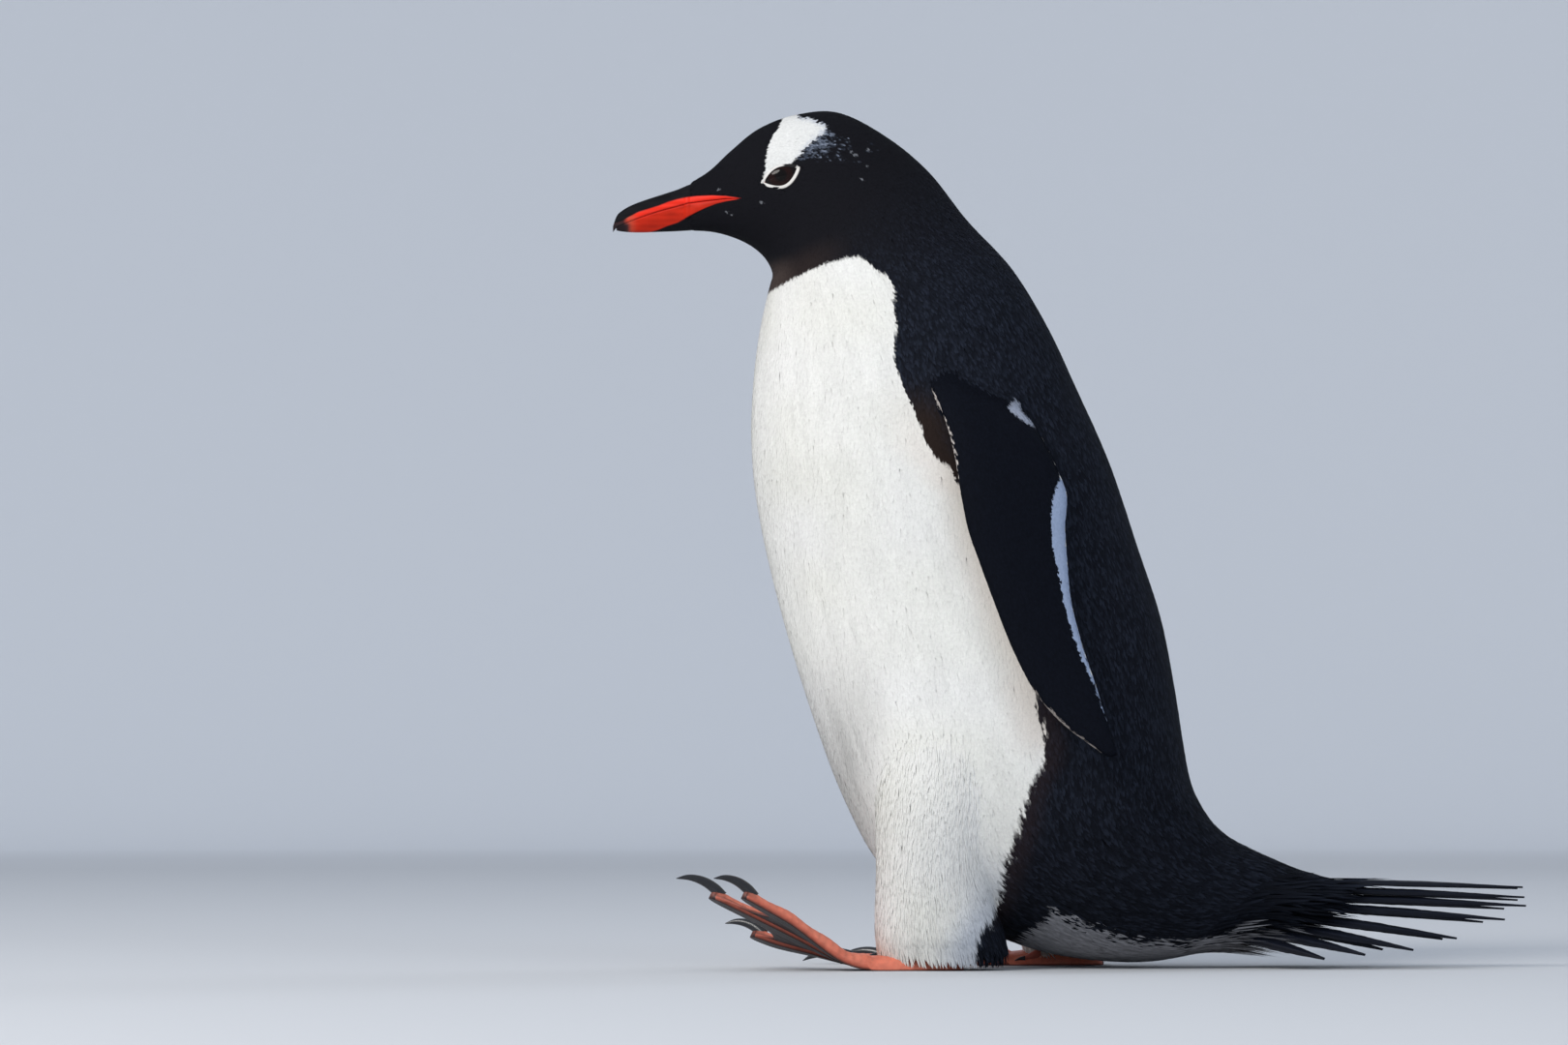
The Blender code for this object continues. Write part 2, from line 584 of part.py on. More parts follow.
# ------------------------------------------------------------ build
def build():
    for old in list(bpy.data.objects):
        bpy.data.objects.remove(old, do_unlink=True)
    bpy.context.scene.collection.objects.link(bpy.data.objects.new("penguin", None))

    black = (0.014, 0.017, 0.024)
    white = (0.80, 0.80, 0.79)
    orange = (0.62, 0.13, 0.06)
    mats = {
        "head_plumage": material("head_plumage", (0.012, 0.012, 0.015), 0.85),
        "neck_plumage": material("neck_plumage", (0.013, 0.014, 0.018), 0.85),
        "trunk_plumage": material("trunk_plumage", white, 0.9),
        "tail_plumage": material("tail_plumage", black, 0.7),
        "flipper_plumage": material("flipper_plumage", black, 0.7),
        "leg_plumage": material("leg_plumage", white, 0.9),
        "bill_horn": material("bill_horn", (0.55, 0.04, 0.02), 0.35),
        "eye_ball": material("eye_ball", (0.03, 0.012, 0.008), 0.08),
        "foot_skin": material("foot_skin", orange, 0.55),
        "claw_horn": material("claw_horn", (0.012, 0.013, 0.018), 0.35),
    }

    # body
    head = body_node("head", 0.0, S_NECK, 10, mats["head_plumage"], 0.0, HALF_GAP)
    body_node("neck", S_NECK, S_TRUNK, 6, mats["neck_plumage"], HALF_GAP, HALF_GAP)
    body_node("trunk", S_TRUNK, S_TAIL, 20, mats["trunk_plumage"], HALF_GAP, HALF_GAP)

    # a slightly larger copy of neck, trunk and tail root, to cut limbs against
    larger = [body_section(S_NECK + (S_END - S_NECK) * i / 59.0, GAP * 1.6) for i in range(60)]
    cutter = solid("body_cutter", *skin_rings(larger), None, True)

    # eyes and their sockets
    head_tree = tree_of(*body_part(0.0, S_NECK, 10))
    eye_x = side_at(head_tree, EYE_Y, EYE_Z) + EYE_PROUD - EYE_RADIUS
    for side, tag in ((1, "L"), (-1, "R")):
        for grow, name, hidden in ((0.0, "eye_" + tag, False), (GAP, "socket_" + tag, True)):
            rings = []
            for i in range(1, 8):
                a = math.pi * i / 8
                radius = (EYE_RADIUS + grow) * math.sin(a)
                rings.append([np.array([side * (eye_x + (EYE_RADIUS + grow) * math.cos(a)),
                                        EYE_Y + radius * math.cos(b), EYE_Z + radius * math.sin(b)])
                              for b in (2 * math.pi * k / 14 for k in range(14))])
            points, faces = skin_rings(rings, caps=False)
            for base, way in ((0, 1), ((len(rings) - 1) * 14, -1)):
                points.append(np.array([side * (eye_x + way * (EYE_RADIUS + grow)), EYE_Y, EYE_Z]))
                tip = len(points) - 1
                faces += [(tip, base + k, base + (k + 1) % 14) for k in range(14)]
            ball = solid(name, points, faces, mats["eye_ball"], hidden)
            if hidden:
                cut(head, ball)

    # bill
    solid("bill_upper", *skin_rings(bill_half(True)), mats["bill_horn"])
    solid("bill_lower", *skin_rings(bill_half(False)), mats["bill_horn"])

    # limbs
    for side, tag, rows in ((1, "L", LEG_L), (-1, "R", LEG_R)):
        flipper = solid("flipper_" + tag, *skin_rings(flipper_rings(side)), mats["flipper_plumage"])
        cut(flipper, cutter)
        leg = solid("leg_" + tag, *skin_rings(leg_rings(rows, side)), mats["leg_plumage"])
        cut(leg, cutter)

        foot = solid("foot_" + tag, *foot_mesh(tag), mats["foot_skin"])
        for toe in TOES:
            solid("claw_%s_%s" % (tag, toe), *skin_rings(claw_rings(tag, toe)), mats["claw_horn"])
            socket = solid("claw_socket_%s_%s" % (tag, toe),
                           *skin_rings(claw_rings(tag, toe, GAP)), None, True)
            cut(foot, socket)
        solid("hallux_" + tag, *skin_rings(hallux_rings(tag)), mats["foot_skin"])
        solid("claw_%s_hallux" % tag, *skin_rings(hallux_claw_rings(tag)), mats["claw_horn"])

    # tail: the feathered root and sixteen stiff feathers grown into it
    tail = body_node("tail", S_TAIL, S_END, 6, mats["tail_plumage"], HALF_GAP, 0.0)
    for side, tips in ((1, TAIL_TIPS_L), (-1, TAIL_TIPS_R)):
        for k, tip in enumerate(tips):
            feather = solid("tail_feather_%d_%d" % (k, side), *skin_rings(tail_feather(k, tip, side)),
                            None, True)
            cut(tail, feather, "UNION")


build()
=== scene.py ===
"""Looks of the life-size gentoo penguin: skin, plumage, bill, eyes, feet and tail.

All sizes are millimetres and become metres when a mesh is made.
"""

import math

import bpy
import bmesh
import numpy as np
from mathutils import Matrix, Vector
from mathutils.bvhtree import BVHTree
from mathutils.kdtree import KDTree


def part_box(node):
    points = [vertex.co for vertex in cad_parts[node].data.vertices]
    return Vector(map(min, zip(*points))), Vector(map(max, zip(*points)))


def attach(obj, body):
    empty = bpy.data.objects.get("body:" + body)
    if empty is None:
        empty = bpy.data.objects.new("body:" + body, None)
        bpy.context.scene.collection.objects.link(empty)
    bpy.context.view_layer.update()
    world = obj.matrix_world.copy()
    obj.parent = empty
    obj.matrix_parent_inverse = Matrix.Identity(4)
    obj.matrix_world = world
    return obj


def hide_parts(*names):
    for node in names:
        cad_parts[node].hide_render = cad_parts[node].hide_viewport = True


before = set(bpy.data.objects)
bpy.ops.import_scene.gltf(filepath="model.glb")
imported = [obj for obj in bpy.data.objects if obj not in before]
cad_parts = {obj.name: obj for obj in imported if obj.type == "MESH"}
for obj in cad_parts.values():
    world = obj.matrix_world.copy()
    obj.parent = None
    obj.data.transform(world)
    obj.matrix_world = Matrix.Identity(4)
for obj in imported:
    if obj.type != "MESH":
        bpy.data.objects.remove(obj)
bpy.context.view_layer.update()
MM = 0.001
rng = np.random.default_rng(20)

# ================================================================ CAD tables
STATIONS = np.array([
    (-210.0, 437.6, -209.6, 411.4, 8.6, 2.1, -0.05),
    (-198.0, 445.2, -197.0, 410.6, 13.2, 2.1, -0.10),
    (-186.0, 456.4, -185.5, 407.6, 19.5, 2.1, -0.14),
    (-170.5, 468.6, -175.0, 402.6, 26.5, 2.15, -0.14),
    (-150.0, 476.2, -167.0, 395.4, 31.0, 2.15, -0.08),
    (-126.0, 477.3, -162.8, 386.4, 34.5, 2.1, -0.03),
    (-99.0, 463.4, -164.8, 378.2, 39.0, 2.0, 0.0),
    (-75.5, 443.6, -167.8, 366.5, 45.5, 2.0, 0.0),
    (-54.5, 416.8, -170.5, 354.0, 54.5, 2.0, 0.0),
    (-29.5, 389.5, -173.0, 337.0, 65.0, 2.05, 0.0),
    (-9.5, 356.5, -174.8, 316.0, 74.5, 2.1, 0.03),
    (6.0, 323.0, -175.2, 292.0, 81.5, 2.15, 0.03),
    (24.5, 281.0, -172.8, 262.5, 86.0, 2.2, 0.0),
    (40.0, 234.5, -165.5, 225.0, 89.0, 2.2, -0.02),
    (53.0, 194.5, -154.0, 181.5, 90.5, 2.2, -0.03),
    (60.5, 156.5, -140.5, 138.5, 89.5, 2.2, -0.02),
    (65.5, 124.0, -125.0, 97.0, 86.0, 2.2, 0.02),
    (69.5, 103.5, -105.5, 60.0, 80.5, 2.15, 0.06),
    (75.5, 89.5, -80.5, 38.5, 73.5, 2.1, 0.08),
    (83.5, 78.5, -49.0, 22.5, 65.5, 2.05, 0.08),
    (93.5, 70.5, -16.5, 10.5, 57.0, 2.0, 0.06),
    (103.5, 65.5, 15.5, 4.8, 48.0, 2.0, 0.04),
    (113.5, 61.0, 46.0, 4.0, 40.0, 2.0, 0.02),
    (123.0, 57.0, 75.0, 9.8, 32.5, 2.0, 0.0),
    (132.0, 53.2, 99.5, 21.0, 25.0, 2.0, 0.0),
    (141.0, 50.2, 121.0, 31.0, 16.0, 2.0, 0.0),
])
S_END = len(STATIONS) - 1
BILL = [
    (-210.2, 437.0, 426.0, 411.4, 7.9), (-217.0, 434.2, 424.4, 411.0, 6.8),
    (-227.5, 430.8, 421.6, 410.6, 5.6), (-236.0, 428.0, 418.8, 410.3, 4.7),
    (-243.0, 425.2, 416.3, 410.4, 3.9), (-248.0, 422.2, 414.2, 410.9, 3.1),
    (-250.6, 419.4, 412.9, 411.4, 2.4),
]
BILL_TIP = (-252.6, 413.9, 410.5, 1.4)
EYE_Y, EYE_Z, EYE_RADIUS = -159.0, 439.7, 10.4
FLIPPER = [
    (-82.0, 347.0, -40.0, 341.0, 61.0, 53.0, 9.0), (-79.0, 327.5, -33.5, 320.5, 72.0, 62.0, 9.5),
    (-74.0, 313.0, -25.0, 305.0, 82.0, 71.0, 9.0), (-67.5, 295.5, -15.5, 290.5, 90.0, 78.0, 8.2),
    (-63.5, 277.5, -8.5, 275.0, 95.0, 82.5, 7.2), (-61.0, 260.5, -3.0, 260.0, 98.5, 86.0, 6.4),
    (-57.0, 240.5, -4.0, 242.5, 101.0, 89.0, 5.8), (-50.5, 221.5, -3.0, 224.0, 103.0, 92.0, 5.2),
    (-42.5, 199.5, -1.0, 202.0, 104.5, 95.0, 4.6), (-33.5, 176.5, 4.5, 179.0, 105.2, 97.5, 4.0),
    (-22.0, 154.0, 11.5, 157.5, 105.6, 100.0, 3.4), (-8.0, 137.0, 16.5, 141.0, 105.6, 102.0, 2.7),
    (8.0, 124.5, 20.5, 129.0, 105.2, 103.6, 2.0),
]
FLIPPER_TIP = (21.0, 118.0, 104.4)
FLIPPER_EDGE = 0.5
LEG_L = np.array([
    (158.0, -60.0, 46.0, 26.0, 26.0), (132.0, -64.0, 50.0, 37.0, 34.5), (104.0, -69.0, 52.5, 38.0, 34.5),
    (78.0, -73.5, 52.0, 33.5, 31.5), (55.0, -75.2, 50.0, 31.2, 28.5), (34.0, -73.6, 47.5, 33.4, 26.0),
    (18.0, -71.0, 45.5, 36.0, 24.0), (11.7, -70.2, 45.0, 35.2, 22.8),
])
LEG_R = np.array([
    (128.0, -14.0, 44.0, 24.0, 24.0), (104.0, -12.0, 48.0, 33.0, 30.0), (78.0, -8.0, 48.5, 32.5, 29.5),
    (55.0, -3.5, 47.5, 30.0, 27.5), (34.0, 0.5, 46.5, 28.2, 25.5), (18.0, 2.6, 45.5, 27.2, 23.5),
    (11.7, 3.0, 45.0, 26.0, 22.0),
])
FOOT_HEEL_F, KNUCKLE_F = -20.0, 34.0
TOES = {
    "inner": (-11.0, 98.0, -33.0, 5.4, 4.1),
    "middle": (0.0, 129.0, 2.0, 5.8, 4.4),
    "outer": (11.0, 114.0, 31.0, 5.6, 4.2),
}
WEB_F, WEB_DIP, WEB_HALF = 0.80, 9.0, 0.9
TOE_HALF, TOE_HALF_TIP, PAD_HALF, HEEL_HALF_WIDTH = 3.8, 3.0, 5.6, 12.5
FEET = {"L": (45.5, -78.3, 26.0, 16.0, 2.0), "R": (45.5, 3.0, 0.0, 0.0, 6.0)}
BEND_F, ROLL_F = (20.0, 60.0), (36.0, 88.0)
CLAW_LENGTH = {"inner": 18.0, "middle": 22.5, "outer": 20.5}
CLAW_RADIUS, CLAW_BURIED, CLAW_ROWS = 3.2, 6.0, 6
CLAW_ARC = {"L": (30.0, 34.0), "R": (21.0, 27.0)}
HALLUX_LENGTH, HALLUX_RADIUS, GAP = 9.0, 2.5, 0.3
TAIL_PAIRS = 8
TAIL_TIPS_L = [
    (254.2, 44.8, 3.2), (254.4, 39.4, 9.5), (254.6, 34.8, 15.5), (242.0, 27.4, 23.5),
    (214.6, 17.2, 31.0), (190.0, 11.0, 37.5), (163.0, 8.4, 42.0), (140.5, 6.2, 43.5),
]
TAIL_TIPS_R = [
    (252.0, 44.0, 3.2), (252.8, 37.4, 9.5), (246.0, 32.4, 16.5), (235.0, 24.8, 24.5),
    (213.0, 15.0, 31.5), (180.0, 9.0, 37.5), (158.0, 8.8, 41.5), (137.0, 7.2, 43.0),
]
TAIL_ROOT_IN, TAIL_ROOT_OUT = (113.5, 47.9, 2.6), (84.0, 20.4, 17.5)
TAIL_ROLL, TAIL_HALF, TAIL_SAG = (22.0, 46.0), (4.1, 0.8), 0.8

# ================================================================ markings
# outlines of the colour areas on the bird's side, (y, z)
THROAT = np.array([(-176.0, 376.0), (-166.2, 377.9), (-157.0, 381.4), (-149.5, 384.5), (-140.4, 388.3),
                   (-130.3, 391.7), (-118.0, 394.1), (-114.3, 393.5), (-110.6, 390.7), (-106.4, 385.7),
                   (-100.6, 381.8), (-97.9, 378.0), (-95.8, 373.6)])
FLANK = np.array([(-95.8, 373.6), (-96.4, 362.1), (-94.7, 351.7), (-96.6, 341.4), (-96.1, 330.7), (-92.4, 321.5),
                  (-88.3, 310.8), (-82.5, 297.9), (-79.4, 286.8), (-72.0, 277.7), (-65.7, 273.5),
                  (-59.9, 255.5), (-54.2, 234.3), (-46.4, 207.9), (-35.8, 181.6), (-26.4, 162.1),
                  (-20.0, 150.0), (-15.8, 134.2), (-14.2, 123.2), (-15.8, 112.6), (-22.1, 101.6),
                  (-25.7, 91.0), (-28.7, 76.7), (-32.2, 64.0), (-37.2, 49.5), (-40.4, 34.9),
                  (-48.0, 21.0), (-53.0, 9.6)])[::-1]
VENT = np.array([(-40.0, 2.0), (-28.2, 13.4), (-13.2, 27.4), (-8.2, 32.9), (2.6, 27.5), (19.3, 22.1),
                 (37.8, 16.5), (65.6, 14.1), (81.4, 16.7), (96.0, 21.4)])
CROWN_PATCH = np.array([(-168.8, 436.5), (-167.7, 440.6), (-166.7, 443.8), (-166.1, 451.6), (-164.5, 458.9),
                        (-162.4, 462.9), (-159.2, 467.6), (-157.0, 474.5), (-156.5, 481.0), (-149.0, 481.0),
                        (-149.0, 473.3), (-141.9, 471.9), (-136.0, 468.7), (-132.8, 467.0), (-136.0, 462.3),
                        (-140.3, 458.9), (-145.2, 453.3), (-149.5, 449.5), (-152.7, 445.1), (-159.0, 441.0)])
FLECKS = np.array([(-139.0, 467.0), (-124.7, 464.0), (-104.2, 459.4), (-103.0, 448.7), (-118.8, 444.2),
                   (-134.0, 446.0), (-150.0, 446.0), (-147.0, 454.0)])
SPOTS = [(-192.8, 433.0, 0.9), (-169.0, 424.6, 1.0), (-188.2, 420.5, 0.9), (-185.6, 419.0, 0.8), (-110.9, 443.9, 1.0),
         (-113.5, 436.5, 1.1), (-117.2, 450.2, 1.2), (-119.6, 452.2, 1.0), (-110.3, 453.4, 0.8)]
AXILLA = np.array([(-34.9, 308.0), (-30.2, 312.2), (-26.8, 305.6), (-19.6, 296.8), (-25.4, 299.4), (-31.6, 304.0)])
STRIPE = np.array([(-10.8, 288.0), (-8.6, 282.0), (-6.6, 276.0), (-6.0, 270.5), (-8.4, 264.0), (-10.8, 257.0), (-11.7, 245.2), (-11.3, 230.9),
                   (-8.2, 218.3), (-4.6, 198.2), (0.6, 180.4), (6.3, 166.2), (11.5, 153.6), (15.1, 144.6)])[::-1]
BILL_RED_TOP = np.array([(-250.0, 415.6), (-246.8, 416.9), (-243.5, 418.8), (-238.1, 421.5), (-232.7, 423.1),
                         (-227.3, 424.7), (-221.9, 426.8), (-216.4, 428.4), (-211.0, 429.4), (-205.6, 429.9),
                         (-197.0, 429.9), (-189.3, 429.2), (-181.2, 427.6)])
BILL_RED_LOW = np.array([(-250.0, 410.0), (-243.6, 410.2), (-231.7, 410.4), (-227.3, 411.7), (-221.9, 413.8),
                         (-216.5, 415.5), (-211.0, 418.4), (-205.6, 421.0), (-200.2, 423.4), (-194.7, 425.3),
                         (-189.3, 426.3), (-181.2, 427.4)])
GAPE = np.array([(-253.0, 412.2), (-248.9, 414.0), (-238.1, 418.2), (-232.7, 420.1), (-222.0, 423.2),
                 (-210.2, 426.0), (-200.2, 427.0), (-189.3, 427.7), (-181.2, 427.5)])


def srgb(*c):
    """Colour numbers 0-255 as seen, turned to the linear values a shader takes."""
    c = np.array(c, float) / 255.0
    return np.where(c <= 0.04045, c / 12.92, ((c + 0.055) / 1.055) ** 2.4)


WHITE = srgb(238, 237, 233)
BACK = srgb(14, 16, 22)
BACK_TIP = srgb(40, 45, 57)
HEAD = srgb(19, 19, 23)
THROAT_BROWN = srgb(40, 33, 32)
FLIPPER_BLACK = srgb(12, 15, 23)
# the flipper's white trailing stripe, painted a darker bluish grey as painted shade of its rear edge
STRIPE_WHITE_IN_SHADE = srgb(156, 170, 196)
# white undertail feathers painted grey as painted shade
VENT_WHITE_IN_SHADE = srgb(134, 134, 138)
RUFOUS_BLACK = srgb(36, 28, 25)
RED = srgb(228, 40, 22)


# ================================================================ helpers
def smooth01(a, b, v):
    t = np.clip((np.asarray(v, float) - a) / (b - a), 0, 1)
    return t * t * (3 - 2 * t)


def mix(a, b, t):
    t = np.asarray(t)[..., None] if np.ndim(t) else t
    return a * (1 - t) + b * t


def spline(rows, s):
    """Catmull-Rom through the numbers of a table, at fractional rows s."""
    rows = np.asarray(rows, float)
    top = len(rows) - 1
    s = np.clip(np.asarray(s, float), 0, top)
    i = np.minimum(s.astype(int), top - 1)
    t = (s - i).reshape((-1,) + (1,) * (rows.ndim - 1))
    more = lambda mask: mask.reshape((-1,) + (1,) * (rows.ndim - 1))
    p1, p2 = rows[i], rows[i + 1]
    p0 = np.where(more(i > 0), rows[np.maximum(i - 1, 0)], 2 * p1 - p2)
    p3 = np.where(more(i + 2 <= top), rows[np.minimum(i + 2, top)], 2 * p2 - p1)
    return 0.5 * ((2 * p1) + (p2 - p0) * t + (2 * p0 - 5 * p1 + 4 * p2 - p3) * t * t
                  + (3 * p1 - p0 - 3 * p2 + p3) * t ** 3)


def unit(v):
    return v / np.maximum(np.linalg.norm(v, axis=-1, keepdims=True), 1e-9)


def power(v, e):
    return np.copysign(np.abs(v) ** e, v)


def noise(x, y, seed=0):
    """Smooth value noise in the plane, 0 to 1, one cell per unit."""
    xi, yi = np.floor(x).astype(np.int64), np.floor(y).astype(np.int64)
    fx, fy = x - xi, y - yi
    fx, fy = fx * fx * (3 - 2 * fx), fy * fy * (3 - 2 * fy)

    def cell(a, b):
        h = (a * 374761393 + b * 668265263 + seed * 2147483647) & 0xFFFFFFFF
        h = ((h ^ (h >> 13)) * 1274126177) & 0xFFFFFFFF
        return ((h ^ (h >> 16)) & 0xFFFF) / 65535.0

    top = cell(xi, yi) * (1 - fx) + cell(xi + 1, yi) * fx
    low = cell(xi, yi + 1) * (1 - fx) + cell(xi + 1, yi + 1) * fx
    return top * (1 - fy) + low * fy


def outline_distance(p, outline):
    """Distance in the plane to a closed outline, positive inside it."""
    a, b = outline, np.roll(outline, -1, axis=0)
    ab = b - a
    rel = p[:, None, :] - a[None]
    t = np.clip((rel * ab).sum(-1) / (ab * ab).sum(-1), 0, 1)
    d = np.linalg.norm(rel - t[..., None] * ab, axis=-1).min(1)
    y, z = p[:, 1:2], p[:, 0:1]
    crosses = ((a[:, 1] > y) != (b[:, 1] > y)) & (
        z < (b[:, 0] - a[:, 0]) * (y - a[:, 1]) / np.where(b[:, 1] == a[:, 1], 1e-9, b[:, 1] - a[:, 1]) + a[:, 0])
    return np.where(crosses.sum(1) % 2 == 1, d, -d)


# ================================================================ surfaces
def body_point(s, a, grow=0.0):
    s, a, grow = np.broadcast_arrays(np.asarray(s, float), np.asarray(a, float), np.asarray(grow, float))
    shape = s.shape
    s, a, grow = s.ravel(), a.ravel(), grow.ravel()
    ty, tz, by, bz, w, square, egg = spline(STATIONS, s).T
    hy, hz = (ty - by) / 2, (tz - bz) / 2
    reach = np.hypot(hy, hz)
    up = power(np.cos(a), 2 / square)
    side = power(np.sin(a), 2 / square) * (1 + egg * up)
    out = np.stack([side * (w + grow), (ty + by) / 2 + hy / reach * up * (reach + grow),
                    (tz + bz) / 2 + hz / reach * up * (reach + grow)], -1)
    return out.reshape(shape + (3,))


def flipper_rows():
    rows = [list(r) for r in FLIPPER]
    ly, lz, ty, tz, xl, xt, half = rows[-1]
    y, z, x = FLIPPER_TIP
    cy, cz, k = (ly + ty) / 2, (lz + tz) / 2, 0.34
    rows.append([y + (ly - cy) * k, z + (lz - cz) * k, y + (ty - cy) * k, z + (tz - cz) * k,
                 x + (xl - xt) / 2 * k, x - (xl - xt) / 2 * k, half * k])
    return np.array(rows)


FLIPPER_ROWS = flipper_rows()
R_END = len(FLIPPER_ROWS) - 1


def flipper_point(side, r, a, grow=0.0):
    r, a, grow = np.broadcast_arrays(np.asarray(r, float), np.asarray(a, float), np.asarray(grow, float))
    shape = r.shape
    r, a, grow = r.ravel(), a.ravel(), grow.ravel()
    ly, lz, ty, tz, xl, xt, half = spline(FLIPPER_ROWS, r).T
    cy, cz = (ty - ly) / 2, (tz - lz) / 2
    reach = np.hypot(cy, cz)
    along, thick = -np.cos(a), np.sin(a)
    swell = half * (1.0 - 0.42 * along) / 1.25 + FLIPPER_EDGE * (1 + along) / 2
    ends = np.where(r > R_END - 1, 1 - 0.66 * (r - R_END + 1), 1.0)
    swell = np.where(r > R_END - 1, np.minimum(swell, (half * (1 - 0.42 * along) / 1.25 + FLIPPER_EDGE * (1 + along) / 2)), swell)
    grown = np.maximum(swell + grow, 0.12)
    x = (xl + xt) / 2 + (xt - xl) / 2 * along + thick * grown
    out = np.stack([side * x, (ly + ty) / 2 + cy / reach * along * np.maximum(reach + grow * ends, 0.3),
                    (lz + tz) / 2 + cz / reach * along * np.maximum(reach + grow * ends, 0.3)], -1)
    return out.reshape(shape + (3,))


def leg_point(rows, side, r, a, grow=0.0):
    r, a, grow = np.broadcast_arrays(np.asarray(r, float), np.asarray(a, float), np.asarray(grow, float))
    shape = r.shape
    r, a, grow = r.ravel(), a.ravel(), grow.ravel()
    z, cy, cx, ry, rx = spline(rows, r).T
    out = np.stack([side * (cx + (rx + grow) * np.sin(a)), cy + (ry + grow) * np.cos(a), z], -1)
    return out.reshape(shape + (3,))


def coat_depth(s):
    return np.interp(s, [0, 1.5, 4, 7, 10, 20, 23, 25], [0.95, 0.85, 1.0, 1.4, 1.8, 1.9, 1.7, 1.2])


LEG_DEPTH, FLIPPER_DEPTH = 1.8, 0.5


def grid_faces(rows, cols, closed=True):
    """Faces of a grid of rows by cols points, closed round each row, with a middle point at both ends."""
    faces = []
    span = cols if closed else cols - 1
    for r in range(rows - 1):
        for k in range(span):
            a, b = r * cols + k, r * cols + (k + 1) % cols
            faces.append((a, b, b + cols, a + cols))
    return faces


def capped(grid):
    """Points and faces of a closed loft through a (rows, cols, 3) grid."""
    rows, cols = grid.shape[:2]
    points = np.concatenate([grid.reshape(-1, 3), grid[0].mean(0)[None], grid[-1].mean(0)[None]])
    faces = grid_faces(rows, cols)
    first, last = rows * cols, rows * cols + 1
    for k in range(cols):
        faces.append((first, (k + 1) % cols, k))
        base = (rows - 1) * cols
        faces.append((last, base + k, base + (k + 1) % cols))
    return points, faces


def refine(rings, rows):
    """Splines through a list of equal rings, giving more of them."""
    rings = np.array(rings, float)
    return spline(rings, np.linspace(0, len(rings) - 1, rows))


# ================================================================ materials
def shader_of(mat):
    return next(n for n in mat.node_tree.nodes if n.type == "BSDF_PRINCIPLED")


def make_material(name, colour=(0.5, 0.5, 0.5), rough=0.6, spec=0.5, tint=False, coat=0.0, coat_rough=0.1,
                  sheen=0.0, bump=0.0, bump_scale=800.0, vary=0.0, vary_scale=60.0, stretch=(1, 1, 1), subsurface=0.0):
    mat = bpy.data.materials.new(name)
    mat.use_nodes = True
    tree = mat.node_tree
    node = shader_of(mat)
    node.inputs["Roughness"].default_value = rough
    node.inputs["Specular IOR Level"].default_value = spec
    node.inputs["Coat Weight"].default_value = coat
    node.inputs["Coat Roughness"].default_value = coat_rough
    if sheen:
        node.inputs["Sheen Weight"].default_value = sheen
        node.inputs["Sheen Roughness"].default_value = 0.5
    if subsurface:
        node.inputs["Subsurface Weight"].default_value = subsurface
        node.inputs["Subsurface Radius"].default_value = (0.004, 0.0015, 0.001)
        node.inputs["Subsurface Scale"].default_value = 0.5
    colour_out = None
    if tint:
        source = tree.nodes.new("ShaderNodeAttribute")
        source.attribute_name = "tint"
        colour_out = source.outputs["Color"]
    else:
        node.inputs["Base Color"].default_value = (*colour, 1.0)
    coords = tree.nodes.new("ShaderNodeTexCoord")
    mapping = tree.nodes.new("ShaderNodeMapping")
    mapping.inputs["Scale"].default_value = stretch
    tree.links.new(coords.outputs["Object"], mapping.inputs["Vector"])
    if vary:
        grain = tree.nodes.new("ShaderNodeTexNoise")
        grain.inputs["Scale"].default_value = vary_scale
        grain.inputs["Detail"].default_value = 4.0
        tree.links.new(mapping.outputs["Vector"], grain.inputs["Vector"])
        spread = tree.nodes.new("ShaderNodeMapRange")
        spread.inputs["From Min"].default_value = 0.3
        spread.inputs["From Max"].default_value = 0.7
        spread.inputs["To Min"].default_value = 1 - vary
        spread.inputs["To Max"].default_value = 1 + vary
        tree.links.new(grain.outputs["Fac"], spread.inputs["Value"])
        scaled = tree.nodes.new("ShaderNodeVectorMath")
        scaled.operation = "SCALE"
        if colour_out is None:
            scaled.inputs[0].default_value = colour
        else:
            tree.links.new(colour_out, scaled.inputs[0])
        tree.links.new(spread.outputs["Result"], scaled.inputs["Scale"])
        colour_out = scaled.outputs["Vector"]
    if colour_out is not None:
        tree.links.new(colour_out, node.inputs["Base Color"])
    if bump:
        rough_noise = tree.nodes.new("ShaderNodeTexNoise")
        rough_noise.inputs["Scale"].default_value = bump_scale
        rough_noise.inputs["Detail"].default_value = 3.0
        tree.links.new(mapping.outputs["Vector"], rough_noise.inputs["Vector"])
        step = tree.nodes.new("ShaderNodeBump")
        step.inputs["Strength"].default_value = bump
        step.inputs["Distance"].default_value = 0.0005
        tree.links.new(rough_noise.outputs["Fac"], step.inputs["Height"])
        tree.links.new(step.outputs["Normal"], node.inputs["Normal"])
    return mat


def put(obj, slot, *nodes):
    bpy.context.scene.collection.objects.link(obj) if obj.name not in bpy.context.scene.collection.objects else None
    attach(obj, "root")
    if nodes:
        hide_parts(*nodes)
    return obj


def mesh_of(name, points, faces, tints=None, mat=None, tidy=True):
    mesh = bpy.data.meshes.new(name)
    mesh.from_pydata((np.asarray(points) * MM).tolist(), [], [tuple(int(i) for i in f) for f in faces])
    if tints is not None:
        layer = mesh.attributes.new("tint", "FLOAT_COLOR", "POINT")
        rgba = np.ones((len(points), 4), np.float32)
        rgba[:, :3] = tints
        layer.data.foreach_set("color", rgba.ravel())
    if tidy:
        bm = bmesh.new()
        bm.from_mesh(mesh)
        bmesh.ops.recalc_face_normals(bm, faces=bm.faces)
        bm.to_mesh(mesh)
        bm.free()
    mesh.polygons.foreach_set("use_smooth", np.ones(len(mesh.polygons), bool))
    if mat is not None:
        mesh.materials.append(mat)
    return bpy.data.objects.new(name, mesh)


